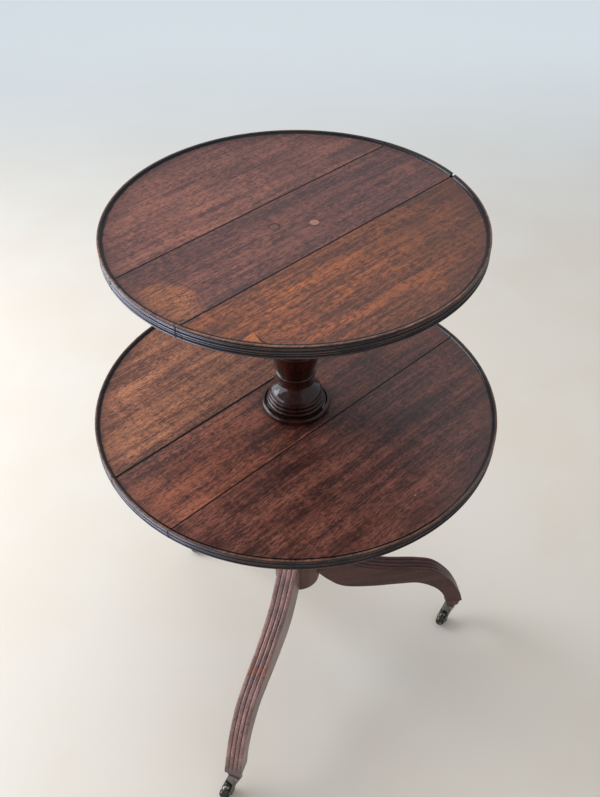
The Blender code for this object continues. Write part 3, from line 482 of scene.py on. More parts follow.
def face_colour(t, here, radius, figure, colours, shade_and_backdrop_share, glow):
    light, middle, dark = colours
    tone = t.scaled(figure["Streaks"], 0.52, t.times(figure["Bands"], 0.33))
    tone = t.scaled(figure["Ripple"], 0.15, tone)
    colour = t.between(tone, [(0.20, dark), (0.50, middle), (0.82, light)])
    if glow:
        colour = arched_figure(t, here, figure, colour, dark, glow)
    colour = t.blend(t.times(figure["Patches"], 0.38), colour, dark)
    # Painted shade: the board grows darker toward +X, the side away from the window light.
    painted_shade_share = t.ramp(t.parts(here)[0], -0.7 * radius, 0.8 * radius, 0.0, shade_and_backdrop_share)
    colour = t.blend(painted_shade_share, colour, PAINTED_SHADE, "MULTIPLY")
    return t.blend(t.times(figure["Pores"], 0.60), colour, PORE)


# %% Colours of a tray's edge
def edge_colours(t, zone, figure, hollow, colour):
    colour = t.blend(t.times(zone["Joint Line"], 0.93), colour, DIRT_AND_GROOVE_SHADE)
    colour = t.blend(zone["Rim"], colour, t.blend(figure["Streaks"], *RIM_POLISH))
    # Painted highlight: the window light's bluish reflection on the reeds of one side of the rim.
    painted_highlight = t.times(zone["Painted Highlight"], t.ramp(figure["Patches"], 0.0, 1.0, 1.0, 0.7))
    colour = t.blend(painted_highlight, colour, t.blend(zone["Crest"], *PAINTED_HIGHLIGHT))
    # The grooves darken partly with dirt and partly with painted shade; the joints stay dark.
    colour = t.blend(t.times(hollow, 0.9), colour, DIRT_AND_GROOVE_SHADE)
    bare = t.times(zone["Lip Top"], t.ramp(figure["Patches"], 0.0, 0.9, 0.95, 0.5))
    colour = t.blend(bare, colour, t.blend(figure["Streaks"], *BARE_LIP))
    # The crests turn paler, partly rubbed bare and partly as a painted highlight along each reed.
    worn = t.times(zone["Crest"], t.ramp(figure["Patches"], 0.1, 0.7, 0.70, 0.15))
    worn = t.times(worn, t.minus(1.0, zone["Painted Highlight"]))
    colour = t.blend(worn, colour, RUBBED_REED_AND_HIGHLIGHT)
    return t.blend(zone["Under"], colour, t.blend(figure["Streaks"], *RAW_WOOD))


# %% Board material
def board_wood(name, tray, seed, colours, shade_and_backdrop_share, marks=(), glow=None):
    look, t, here = new_material(name)
    figure = t.use(grain, {"Position": here, "Seed": seed})
    zone = t.use(zones, {"Position": here, "Radius": tray["radius"], "Underside": tray["underside"],
                         "Joint": tray["joint_y"], "Back Gap": tray["back_gap"]})
    hollow = t.maths("MAXIMUM", zone["Groove"], zone["Joint Line"])
    colour = face_colour(t, here, tray["radius"], figure, colours, shade_and_backdrop_share, glow)
    colour = t.blend(t.times(zone["Toward Rim"], 0.28), colour, colours[-1])
    for (x, y), size, along, share, tint in marks:
        spot = (x, y, tray["underside"] + FIELD)
        dot = t.use(mark, {"Position": here, "Place": spot, "Size": size * MM, "Along": along})["Mark"]
        colour = t.blend(t.times(dot, share), colour, tint)
    t.give("Base Color", edge_colours(t, zone, figure, hollow, colour))
    rough = 0.44
    for mask, change in (
            (figure["Patches"], -0.10), (figure["Pores"], 0.16), (zone["Rim"], -0.24), (hollow, 0.45)):
        rough = t.scaled(mask, change, rough)
    t.give("Roughness", t.scaled(zone["Under"], 0.30, rough, clamp=True))
    uncoated = t.maths("MAXIMUM", t.maths("MAXIMUM", zone["Under"], zone["Rim"]), hollow)
    t.give("Coat Weight", t.scaled(uncoated, -0.25, 0.25, clamp=True))
    t.give("Coat Roughness", 0.28)
    t.give("Specular IOR Level", 0.34)
    relief = t.scaled(figure["Pores"], -0.7, t.times(figure["Streaks"], 0.35))
    t.give_bump(t.times(relief, t.scaled(zone["Rim"], -0.85, 1.0)), 0.35, 0.4 * MM)
    return look


# %% The six boards
# Each board has a seed, its light, middle and dark brown, and how far painted shade darkens it toward
# +X.
BOARDS = {
    "upper_back_leaf": (
        3.1, (0.385, 0.137, 0.090), (0.215, 0.075, 0.055), (0.088, 0.029, 0.026), 0.36),
    "upper_centre_board": (
        11.7, (0.310, 0.106, 0.074), (0.168, 0.056, 0.044), (0.066, 0.022, 0.021), 0.42),
    "upper_front_leaf": (
        23.4, (0.530, 0.153, 0.045), (0.285, 0.079, 0.029), (0.094, 0.027, 0.015), 0.80),
    "lower_back_leaf": (
        5.9, (0.680, 0.262, 0.126), (0.410, 0.148, 0.078), (0.130, 0.042, 0.026), 0.60),
    "lower_centre_board": (
        37.2, (0.530, 0.172, 0.095), (0.280, 0.088, 0.054), (0.084, 0.027, 0.021), 0.90),
    "lower_front_leaf": (
        51.5, (0.385, 0.130, 0.084), (0.190, 0.062, 0.044), (0.055, 0.019, 0.015), 0.70),
}
# A mark has a place, a size in millimetres, a stretch along the grain, a strength and a colour.
HOLE, TICK = (0.006, 0.004, 0.003), (0.035, 0.013, 0.010)
MARKS = {
    "upper_centre_board": [
        ((-0.036, -0.013), 3.2, 5, 0.7, TICK), ((0.020, 0.011), 2.4, 6, 0.7, TICK),
        ((0.0217, -0.0136), 8.2, 1, 0.5, TICK), ((-0.0217, 0.0136), 9.6, 1, 0.9, HOLE)],
    "upper_front_leaf": [
        ((0.1895, -0.1313), 1.7, 1, 1.0, HOLE), ((0.0405, -0.132), 2.2, 7, 0.8, TICK),
        ((0.104, -0.133), 2.0, 6, 0.8, TICK), ((-0.046, -0.172), 2.2, 7, 0.7, TICK),
        ((-0.110, -0.100), 2.0, 9, 0.5, TICK)],
    "lower_centre_board": [
        # The second mark is painted shade round the foot of the upper pillar, reaching 66 mm from the
        # middle.
        ((-0.2311, -0.034), 1.7, 1, 1.0, HOLE), ((0.0, 0.0), 66, 1, 0.75, (0.012, 0.005, 0.004))],
    "lower_front_leaf": [
        ((-0.074, -0.104), 1.7, 1, 1.0, HOLE), ((-0.121, -0.184), 1.6, 1, 1.0, HOLE),
        ((-0.010, -0.241), 1.6, 1, 0.9, (0.42, 0.30, 0.20)),
        ((-0.208, -0.199), 5.5, 1, 0.9, (0.26, 0.13, 0.08))],
}
# An arched figure has a middle, its half sizes and a colour.
GLOWS = {"upper_centre_board": (
    (-0.212, -0.016, field_up), (0.037, 0.043, 1.0), (0.56, 0.190, 0.062))}
boards = {}
for name, (seed, *colours, shade_and_backdrop_share) in BOARDS.items():
    boards[name] = board_wood("polish " + name.replace("_", " "), TRAYS[name[:5]], seed, colours, shade_and_backdrop_share,
                              MARKS.get(name, ()), GLOWS.get(name))
print("board materials", len(boards))

# %% [markdown]
# ## Cutting the boards
# A tray begins as one turned disc: a flat field, a hollow up to the lip, a nose, fine reeds and a
# bead at the foot. The rule joint then divides it. The middle board keeps a quarter round on each
# side and a leaf has the matching hollow, both drawn round the hinge pin's axis, which is why the
# leaf can fall without a gap opening. Hinges are let in underneath.

# %% The tray's edge outline
EDGE_ROWS = (
    (9.2, 14.0, 0), (4.9, 18.2, -0.20), (4.3, 18.49, 0.08), (1.4, 18.49, 0), (0.05, 17.2, 0.20),
    (0.05, 16.7, 0), (0.7, 16.1, 0.12), (1.5, 16.0, 0), (1.5, 15.1, 0), (1.5, 13.3, 0.42),
    (1.5, 11.5, 0.42), (1.5, 10.6, 0), (1.45, 7.4, 0.42), (1.5, 6.2, 0), (1.5, 4.8, 0.42),
    (1.5, 3.6, 0), (1.45, 0.3, 0.40), (1.9, 0.0, 0.1),
)


def tray_outline(radius):
    rows = [(radius - inset * MM, z * MM, swell) for inset, z, swell in EDGE_ROWS]
    return [(0, FIELD)] + outline(rows, 6) + [(0, 0)]


# %% The rule joint and the hinge housings
AXIS_UP = 0.0029  # the hinge pin's axis above the underside
RULE = 0.008  # radius of the quarter round
GAP = 0.0009  # between board and leaf
BELOW, ABOVE = -0.01, 0.03  # how far a cutter reaches under and over the boards


def rule_line(joint_y, gap, side):
    reach = RULE + gap
    turns = [math.pi / 2 * (1 - i / 14) for i in range(15)]
    curve = [(joint_y + reach * math.cos(a), AXIS_UP + reach * math.sin(a)) for a in turns]
    points = [(joint_y + gap, ABOVE)] + curve + [(joint_y + RULE + gap, BELOW)]
    return [(side * y, z) for y, z in points]


def housing(x, joint_y, side):
    """The shallow pocket for both flaps, deeper along the knuckle."""
    y = [joint_y - 0.0243, joint_y + 0.0403, joint_y + 0.012, joint_y - 0.0035]
    flap, knuckle, half = 0.0021, 0.0058, 0.0193
    shape = [(y[0], BELOW), (y[1], BELOW), (y[1], flap), (y[2], flap),
             (y[2], knuckle), (y[3], knuckle), (y[3], flap), (y[0], flap)]
    return prism([(side * a, b) for a, b in shape], x - half, x + half)


def hinge_spots(label):
    tray = TRAYS[label]
    chord = math.sqrt(tray["radius"] ** 2 - tray["joint_y"] ** 2)
    x = chord * (0.50 if label == "upper" else 0.52)
    return [(end * x, side) for side in (1, -1) for end in (-1, 1)]


# %% Holes and the broken corner
angle = math.radians(-32)
PELLETS = [(s * 0.0256 * math.cos(angle), s * 0.0256 * math.sin(angle)) for s in (1, -1)]
PELLET_HOLE, SCREW_HOLE, SPIGOT_HOLE = 6.8 * MM, 2.7 * MM, 13.3 * MM
CORNER = [(0.2285, -0.0659), (0.26, -0.0639), (0.26, -0.0509), (0.2285, -0.0509)]
CORNER_FLOOR = 0.0142


def own_cuts(node_name):
    """Tools that only one board needs."""
    if node_name == "upper_centre_board":
        return [tool for spot in PELLETS for tool in (
            rod(PELLET_HOLE, 6.9 * MM, ABOVE, spot), rod(SCREW_HOLE, BELOW, ABOVE, spot, 24))]
    if node_name == "lower_centre_board":
        return [rod(SPIGOT_HOLE, BELOW, ABOVE)]
    if node_name == "upper_front_leaf":
        return [prism(CORNER, CORNER_FLOOR, ABOVE, "Z")]
    return []


# %% Cut and place the six boards
def cut_tray(label):
    tray = TRAYS[label]
    radius, joint_y = tray["radius"], tray["joint_y"]
    far = radius + 0.01
    middle = rule_line(joint_y, 0, 1) + rule_line(joint_y, 0, -1)[::-1]
    sections = {"centre_board": (prism(middle, -far, far), (1, -1), "stand")}
    for side, name in ((1, "back_leaf"), (-1, "front_leaf")):
        leaf = rule_line(joint_y, GAP, side) + [(side * far, BELOW), (side * far, ABOVE)]
        sections[name] = (prism(leaf, -far, far), (side,), f"{label}_{name}")
    for name, (section, sides, body) in sections.items():
        node = f"{label}_{name}"
        disc = turned(node, tray_outline(radius), 240)
        kept = carve(disc, [section], "INTERSECT")
        tools = [housing(x, joint_y, side) for x, side in hinge_spots(label) if side in sides]
        tools += own_cuts(node)
        at = (0, 0, tray["underside"])
        board = refine(carve(kept, tools), node, boards[node], body, "mahogany", at=at)
        # The coordinates of the board material are the table's own, so the mesh holds the height.
        board.data.transform(Matrix.Translation(at))
        board.location = (0, 0, 0)
        print(board.name, "faces", len(board.data.polygons))


for label in TRAYS:
    cut_tray(label)

# %% [markdown]
# ## Dark turned wood
# The pillar kept its polish, so it is darker and glossier than the trays, but hands reaching in from
# the front have dulled it there. Below the lower tray it is browner and nearly matt. Its grain runs
# upward, which is the same group with its coordinates turned on their side. The high beads are
# rubbed lighter, and the grooves are darker, partly with dirt and partly with painted shade;
# Pointiness tells one from the other on these fine meshes.

# %% The group for edge wear, dirt and painted crease shade
wear_and_crease_shade, t, given = new_group(
    "wear on edges", {"Low": 0.49, "High": 0.56, "Speckle": 0.5}, ["Rubbed", "Dirt And Crease Shade"])
point = t.add("NewGeometry")["Pointiness"]
specks = t.minus(t.noise({"Scale": 220.0, "Detail": 4.0})[0], 0.5)
point = t.scaled(specks, t.times(given["Speckle"], 0.1), point)
middle = t.times(t.maths("ADD", given["Low"], given["High"]), 0.5)
t.give("Rubbed", t.ramp(point, middle, given["High"], kind="LINEAR"))
# Darker in the hollows: on wood partly dirt and partly painted shade, on brass its tarnish.
t.give("Dirt And Crease Shade", t.ramp(point, given["Low"], t.minus(given["Low"], 0.03), kind="LINEAR"))


# %% The mended leg, with painted shade on its sides
MEND_AT, MEND_HALF, MEND_COLOUR = 0.197, 5.5 * MM, (0.36, 0.115, 0.060)


def side_shade_wear_and_mend(t, place, figure, tone, colour):
    """Painted shade darkening the flat sides, a greyer foot and a slanting stripe of newer wood."""
    sideways = t.parts(t.add("TexCoord")["Normal"])[1]
    painted_side_shade = t.ramp(t.maths("ABSOLUTE", sideways), 0.93, 0.99, 0.0, 0.75)
    # The colours of the painted shade on the flat sides.
    plain = t.blend(tone, (0.085, 0.034, 0.026), (0.20, 0.088, 0.066))
    colour = t.blend(painted_side_shade, colour, plain)
    x, y, z = t.parts(place)
    colour = t.blend(t.ramp(z, 0.105, 0.070, 0.0, 0.75), colour, (0.060, 0.040, 0.045))
    off = t.scaled(y, 0.35, t.minus(x, MEND_AT))
    off = t.maths("ABSOLUTE", t.scaled(figure["Ripple"], 1.5 * MM, off))
    return t.blend(t.ramp(off, MEND_HALF, MEND_HALF * 0.6, 0.0, 0.8), colour, MEND_COLOUR)


# %% Material for turned and shaped wood
ACROSS_VIEW = (-0.725, 0.688, 0)


def shaped_wood(name, seed, light, dark, rough, coat, upright=False, rub=0.5, crease_dirt_and_shade=0.7, shine=0.5,
                mended=False, dull_front=False):
    look, t, place = new_material(name)
    here = place
    if upright:
        here = t.add("Mapping", {"Vector": place, "Rotation": (0, math.pi / 2, 0)})[0]
    figure = t.use(grain, {"Position": here, "Seed": seed})
    edges = t.use(wear_and_crease_shade)
    tone = t.scaled(figure["Streaks"], 0.5, t.times(figure["Bands"], 0.5))
    colour = t.blend(tone, dark, light)
    colour = t.blend(t.times(figure["Pores"], 0.4), colour, (0.012, 0.006, 0.005))
    paler = t.blend(0.6, light, (0.22, 0.11, 0.07))
    colour = t.blend(t.times(edges["Rubbed"], rub), colour, paler)
    # The hollows darken, partly with dirt and partly with painted shade.
    colour = t.blend(t.times(edges["Dirt And Crease Shade"], crease_dirt_and_shade), colour, (0.010, 0.006, 0.005))
    if mended:
        colour = side_shade_wear_and_mend(t, place, figure, tone, colour)
    t.give("Base Color", colour)
    rough = t.scaled(figure["Patches"], 0.12, rough)
    t.give("Roughness", t.scaled(edges["Dirt And Crease Shade"], 0.4, rough, clamp=True))
    if dull_front:
        around = t.vector("NORMALIZE", t.vector("MULTIPLY", place, (1, 1, 0)))
        side = t.maths("ABSOLUTE", t.vector("DOT_PRODUCT", around, ACROSS_VIEW))
        coat = t.ramp(side, 0.15, 0.55, 0.15 * coat, coat)
    t.give("Coat Weight", coat)
    t.give("Coat Roughness", 0.07)
    t.give("Specular IOR Level", shine)
    t.give_bump(t.scaled(figure["Pores"], -0.6, t.times(figure["Streaks"], 0.3)), 0.3, 0.3 * MM)
    return look


# %% The dark woods
pillar_wood = shaped_wood(
    "dark pillar polish", 61.0, (0.070, 0.015, 0.009), (0.007, 0.002, 0.002), 0.12, 0.80, True,
    rub=0.08, crease_dirt_and_shade=0.9, shine=0.05, dull_front=True)
hub_wood = shaped_wood(
    "brown pillar polish", 66.0, (0.150, 0.052, 0.038), (0.060, 0.020, 0.014), 0.38, 0.05, True,
    rub=0.2, crease_dirt_and_shade=0.9, shine=0.25)
# The legs' polish comes in two copies of one grain: this one painted in shade for the right and back
# legs and the toes, the next one painted lit for the left leg, which also has a real mend.
shaded_leg_wood = shaped_wood(
    "leg polish", 72.0, (0.120, 0.041, 0.034), (0.040, 0.014, 0.012), 0.36, 0.10,
    rub=0.25, crease_dirt_and_shade=0.9, shine=0.28)
lit_leg_wood_with_mend = shaped_wood(
    "leg polish painted lit with a mend", 72.0, (0.480, 0.252, 0.208), (0.145, 0.075, 0.074), 0.34,
    0.25, crease_dirt_and_shade=0.95, mended=True)
plain_wood = shaped_wood(
    "unpolished wood", 83.0, (0.21, 0.125, 0.075), (0.11, 0.062, 0.038), 0.62, 0.0, rub=0.3)

# %% [markdown]
# ## The pillar
# Between the trays stands a turned baluster: a stack of rings on the lower tray, a bell, a neck ring
# and an urn. Below the lower tray a slimmer shaft runs down to the hub that takes the legs. Beads
# are rows with a swell; the long bell and urn lines flow through a few points.

# %% The upper pillar
NECK = 27.9  # millimetres from a tray's underside down to the first bead
foot = field_low + SEAT
neck_up = UP["underside"] - NECK * MM
crown = outline(in_mm([
    (30, 0, 0), (30, -5.8, 0.36), (26.5, -6.8, 0), (20, -25, -0.16), (20, -30.8, 0.40),
    (18.5, -31.8, 0)], neck_up))
urn = flowing(in_mm([
    (18.5, 231), (19.6, 218), (26.2, 196), (34.2, 171), (39, 146), (38.5, 125.6), (37, 114)],
    foot), 40)
ring = outline(in_mm([(37, 114, 0), (37, 106.2, 0.30), (36, 105.1, 0)], foot))
shaft = flowing(in_mm([(36, 105.1), (33, 89), (29.7, 76.2), (27.2, 66.5)], foot), 18)
neck_ring = outline(in_mm([(27.2, 66.5, 0), (27.2, 59.4, 0.34), (25.2, 58.9, 0)], foot))
bell = flowing(in_mm([
    (25.2, 58.9), (24.6, 52.6), (25.4, 45.2), (30.6, 37.6), (36, 31.5), (38.2, 26.8)], foot), 28)
foot_rings = outline(in_mm([
    (37.5, 25.8, 0), (38.0, 20.2, 0.28), (39.4, 19.7, 0), (39.6, 13.9, 0.26), (41, 13.4, 0),
    (41.5, 7.6, 0.24), (44, 7.1, 0), (46, 8.7, 0), (50.3, 3.2, 0.20), (50.3, 0, 0), (13, 0, 0)], foot))
top = UP["underside"] - SEAT
stem = [(0, top), (0.017, top), (0.017, neck_up)]
spigot = [(0.013, foot - 0.045), (0, foot - 0.045)]
points = stem + crown + urn + ring[1:] + shaft[1:] + neck_ring[1:] + bell[1:] + foot_rings + spigot
refine(turned("fine_upper_pillar", points, 144), "upper_pillar", pillar_wood, "stand", "dark_mahogany")
print("upper pillar points", len(points))

# %% The lower pillar
neck_low = LOW["underside"] - NECK * MM
HUB = 0.039
collar = outline(in_mm([
    (30.4, 0, 0), (30.4, -6, 0.36), (27.3, -7, 0), (21.8, -27, -0.16), (22.6, -34.6, 0.40),
    (20.7, -36, 0)], neck_low))
barrel = flowing([(0.0207, neck_low - 36 * MM), (0.0215, 0.500), (0.0240, 0.440), (0.0270, 0.399)], 24)
rings = outline([
    (0.0273, 0.399, 0), (0.0304, 0.3889, 0.36), (0.0281, 0.3873, 0), (0.0320, 0.3586, 0.12),
    (0.0382, 0.3424, -0.12), (0.0413, 0.3261, 0.34), (HUB, 0.318, 0), (HUB, 0.214, 0)])
top = LOW["underside"] - SEAT
socket = [(0, foot - 0.049), (0.0133, foot - 0.049), (0.0133, top), (0.017, top), (0.017, neck_low)]
dowel_hole = [(0.0083, 0.214), (0.0083, 0.2343), (0, 0.2343)]
points = socket + collar + barrel[1:] + rings + dowel_hole
refine(turned("fine_lower_pillar", points, 144), "lower_pillar", hub_wood, "stand", "dark_mahogany")
print("lower pillar points", len(points))

# %% The pendant under the hub
HUB_END, DROP = 0.2137, 26 * MM
shares = [(0.93, 1.00), (0.90, 0.86), (0.72, 0.66), (0.50, 0.36), (0.43, 0.14), (0.40, 0.02)]
curve = flowing([(HUB * r, HUB_END - DROP * (1 - h)) for r, h in shares], 26)
dowel = [(0, HUB_END + 0.020), (0.008, HUB_END + 0.020), (0.008, HUB_END)]
points = dowel + curve + [(HUB * 0.385, HUB_END - DROP), (0, HUB_END - DROP)]
refine(turned("fine_pendant", points, 96), "pendant", hub_wood, "stand", "dark_mahogany")

# %% [markdown]
# ## Legs
# A leg sweeps down and out and turns sharply down at the foot. Its sides are flat and its top has
# four reeds that stop at the plain foot. A loft makes it: one section is drawn many times along two
# lines, the top and the underside, and neighbouring sections are joined by faces. Points a little
# inside each arris hold the flat sides flat. The shoulder is then cut round to fit the hub.

# %% One leg along X
LEG_TOP = [(0.080, 1.040), (0.222, 0.815), (0.335, 0.680), (0.517, 0.575), (0.690, 0.518),
           (0.809, 0.451), (0.912, 0.290), (0.980, 0.105), (1.000, 0.000)]
LEG_UNDER = [(0.080, 0.730), (0.163, 0.570), (0.262, 0.450), (0.423, 0.393), (0.574, 0.368),
             (0.702, 0.338), (0.809, 0.240), (0.871, 0.125), (0.903, 0.000)]
REACH, RISE, ANKLE = 0.319, 0.239, 0.063
WIDE_AT_HUB, WIDE_AT_FOOT = 33.6 * MM, 28.4 * MM
REEDS, REED_DEPTH, REED_STEPS = 4, 1.7 * MM, 9


def leg_line(knots):
    points = flowing([(r * REACH, ANKLE + h * RISE) for r, h in knots], 97)
    return [Vector((min(r, REACH - 0.2 * MM), z)) for r, z in points]


def leg_section(high, low, half, depth):
    """Pairs of a place across the leg and a point of its side view, once round the section."""
    up = (high - low).normalized()
    rounded, corner = half - 2 * MM, half - 0.7 * MM
    right = [(rounded, low), (corner, low + up * 0.5 * MM), (half, low + up * 2 * MM),
             (half, low + up * 4 * MM), (half, high - up * 4 * MM)]
    steps = REED_STEPS * REEDS
    reeds = []
    for i in range(steps + 1):
        across = (i % REED_STEPS) / REED_STEPS * 2 - 1
        reeds.append((half - 2 * half * i / steps, high - up * depth * across**4))
    left = [(-y, point) for y, point in reversed(right)]
    return left[-3:] + right + reeds + left[:-3]


def reeded_leg():
    tops, unders = leg_line(LEG_TOP), leg_line(LEG_UNDER)
    rings = []
    for i, (high, low) in enumerate(zip(tops, unders)):
        share = i / (len(tops) - 1)
        half = (WIDE_AT_HUB + (WIDE_AT_FOOT - WIDE_AT_HUB) * share) / 2
        depth = REED_DEPTH * min(max((0.945 - share) / 0.03, 0), 1)
        rings.append([(p.x, y, p.y) for y, p in leg_section(high, low, half, depth)])
    return carve(loft("leg", rings), [rod(HUB + SEAT, 0.1, 0.4, steps=144)])


# %% The toe under the foot
FOOT_AT = REACH * (1.000 + 0.903) / 2
TOE_LEVELS = [(63.5, 13.9, 12.6), (62.2, 13.9, 12.6), (44.0, 11.0, 10.25)]


def toe():
    corners = [(1, 1), (-1, 1), (-1, -1), (1, -1)]
    mesh = loft("toe", [[(FOOT_AT + sx * long * MM, sy * wide * MM, z * MM) for sx, sy in corners]
                        for z, long, wide in TOE_LEVELS])
    bm = bmesh.new()
    bm.from_mesh(mesh)
    uprights = [edge for edge in bm.edges if abs(edge.verts[0].co.z - edge.verts[1].co.z) > MM]
    bmesh.ops.bevel(bm, geom=uprights, offset=1.2 * MM, segments=3, affect="EDGES")
    bm.to_mesh(mesh)
    bm.free()
    return mesh


# %% Place the three legs
LEGS = {"left": math.radians(206.5), "right": math.radians(-33.5), "back": math.radians(86.5)}
leg_mesh, toe_mesh = reeded_leg(), toe()
leg_mesh.name = "leg"
for label, turn in LEGS.items():
    # The left leg takes the copy painted lit, the other legs the copy painted in shade.
    mesh, look = (leg_mesh.copy(), lit_leg_wood_with_mend) if label == "left" else (leg_mesh, shaded_leg_wood)
    refine(mesh, f"{label}_leg", look, "stand", "mahogany", turn=turn, crease=30)
    show(toe_mesh, f"fine_{label}_toe", shaded_leg_wood, "stand", "mahogany", turn=turn)
print("leg faces", len(leg_mesh.polygons))

# %% [markdown]
# ## Old metal
# The casters and hinges are brass that has gone brown in its hollows and stays bright where it is
# rubbed. Tarnish is an oxide, so it is rougher and less metallic than clean brass: one mask drives
# the colour, the roughness and the metallic value together.

# %% Metal material
def old_metal(name, clean, tarnish, amount, rough=0.32):
    look, t, here = new_material(name)
    cloud = t.noise({"Vector": here, "Scale": 180.0, "Detail": 5.0})[0]
    fine = t.noise({"Vector": here, "Scale": 900.0, "Detail": 3.0})[0]
    edges = t.use(wear_and_crease_shade, {"Speckle": 0.8})
    start = 0.62 - amount * 0.3
    dull = t.ramp(t.scaled(fine, 0.3, t.times(cloud, 0.7)), start, start + 0.10)
    dull = t.maths("SUBTRACT", dull, edges["Rubbed"], clamp=True)
    dull = t.maths("MAXIMUM", dull, edges["Dirt And Crease Shade"])
    t.give("Base Color", t.blend(dull, clean, tarnish))
    t.give("Metallic", t.scaled(dull, -0.45, 1.0))
    t.give("Roughness", t.scaled(dull, 0.28, rough))
    t.give_bump(fine, 0.2, 0.2 * MM)
    return look


brass = old_metal("worn brass", (0.62, 0.47, 0.22), (0.16, 0.10, 0.045), 0.25)
wheel_brass = old_metal("rolled brass", (0.46, 0.41, 0.30), (0.030, 0.028, 0.026), 0.80)
dark_brass = old_metal("tarnished brass", (0.30, 0.27, 0.22), (0.022, 0.021, 0.022), 0.95, 0.34)
steel = old_metal("dull steel", (0.42, 0.41, 0.40), (0.10, 0.075, 0.06), 0.5, 0.35)
for name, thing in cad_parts.items():
    if name.startswith("tier_screw"):
        thing.data.materials.clear()
        thing.data.materials.append(steel)

# %% [markdown]
# ## Casters
# Each leg stands on a small brass caster: a plate on the toe, a forked horn that swings under it and
# trails behind, an axle and a wheel. The wheel is turned with a rounded tread and a sunk face round
# its hub. The horn is a flat side view given the full width, hollowed round the wheel and its boss.

# %% Wheel and axle, turned and laid on their side
TOE_END = 0.044
SWIVEL_TOP = 0.0412  # where the horn meets the plate
WHEEL_R = 0.0155
TRAIL = 0.025  # from the swivel to the axle
WHEEL_SIDE = [(2.3, 6.0, 0), (4.6, 6.0, 0), (5.4, 4.8, -0.1), (10.4, 4.8, 0), (11.2, 5.8, -0.1),
              (12.6, 5.9, 0.1), (15.0, 3.6, 0.12), (15.5, 1.8, 0.05)]
AXLE_SIDE = [(0, 10.5, 0), (1.8, 10.4, 0.05), (3.2, 9.3, 0.2), (2.0, 9.3, 0)]


def lying(name, side, count, steps, closed=False):
    points = outline(in_mm(side), count)
    points += [(r, -z) for r, z in reversed(points)]
    mesh = turned(name, points, steps, closed)
    mesh.transform(Matrix.Rotation(math.pi / 2, 4, "X"))
    return mesh


# %% Horn and plate
HORN_EYE = 5 * MM


def horn():
    drop = SWIVEL_TOP - WHEEL_R
    centre = (-TRAIL, -drop)
    turns = [math.radians(150 + 210 * i / 16) for i in range(17)]
    eye = [(-TRAIL + HORN_EYE * math.cos(a), -drop + HORN_EYE * math.sin(a)) for a in turns]
    front = flowing([eye[-1]] + in_mm([(-15.5, -16.5), (-6, -11.5), (4, -10.0)]), 12)[1:]
    back = flowing(in_mm([(-8, -0.9), (-14, -7), (-23, -16)]) + [eye[0]], 12)[:-1]
    fork = prism(eye + front + in_mm([(4, -0.1), (-4, -0.1)]) + back, -9 * MM, 9 * MM, "Y")
    wheel_space = rod(WHEEL_R + 1.2 * MM, -6.6 * MM, 6.6 * MM, centre, 64, "Y")
    collar = rod(8 * MM, -4.8 * MM, -0.3 * MM, steps=64)
    rivet_space = rod(4.8 * MM, -0.02, -5 * MM, steps=48)
    pin_hole = rod(2.9 * MM, -0.02, 0.01, steps=32)
    axle_hole = rod(2.3 * MM, -0.02, 0.02, centre, 32, "Y")
    fork = carve(carve(fork, [wheel_space]), [collar], "UNION")
    fork = carve(carve(fork, [rivet_space]), [pin_hole, axle_hole])
    return eased(fork, 0.35 * MM, 2)


PLATE_SIDE = [(0, 16, 0), (3, 16, 0), (3, -0.3, 0), (9.0, -0.3, 0), (9.5, -0.8, 0.2),
              (9.5, -1.9, 0), (8.8, -2.5, 0.2), (2.6, -2.5, 0), (2.6, -8.1, 0), (4.2, -8.1, 0),
              (3.6, -9.5, 0.2), (0, -9.7, 0)]

# %% Place the casters
wheel_mesh = lying("wheel", WHEEL_SIDE, 6, 72, closed=True)
axle_mesh = lying("axle", AXLE_SIDE, 5, 32)
horn_mesh = horn()
plate_mesh = turned("plate", outline(in_mm(PLATE_SIDE), 4), 48)
heading = math.radians(185.0)
facing = heading + math.pi
wheel_mesh.transform(Matrix.Rotation(facing, 4, "Z"))
for label, turn in LEGS.items():
    x, y = FOOT_AT * math.cos(turn), FOOT_AT * math.sin(turn)
    hub = (x + TRAIL * math.cos(heading), y + TRAIL * math.sin(heading), WHEEL_R)
    swivel = f"{label}_swivel"
    for part, mesh, look, body, slot, at, turn_by, crease in (
            ("plate", plate_mesh, dark_brass, "stand", "old_brass", (x, y, TOE_END), 0.0, 38),
            ("horn", horn_mesh, dark_brass, swivel, "old_brass", (x, y, SWIVEL_TOP), facing, 30),
            ("axle", axle_mesh, dark_brass, swivel, "steel", hub, facing, 38),
            ("wheel", wheel_mesh, wheel_brass, f"{label}_wheel", "brass", hub, 0.0, 38)):
        node = f"{label}_caster_{part}"
        show(mesh, f"fine_{label}_{part}", look, body, slot, [node], at, turn_by, crease)
print("caster faces", sum(len(m.polygons) for m in (wheel_mesh, axle_mesh, horn_mesh, plate_mesh)))

# %% [markdown]
# ## Hinges and their screws
# Back-flap hinges are let in flush under each joint. The flap on the middle board carries the two
# outer knuckles and the flap on the leaf the one between them, and a steel pin runs through all
# three. Countersunk screws with plain slots hold them.

# %% Flaps, pins and screws
FLAP_HALF = 19 * MM
KNUCKLE, KNUCKLE_HOLE, PIN = 2.6 * MM, 1.4 * MM, 1.1 * MM
MIDDLE = 6.3333 * MM  # half length of the middle knuckle
OUTER = MIDDLE + 0.3 * MM  # where an outer knuckle begins


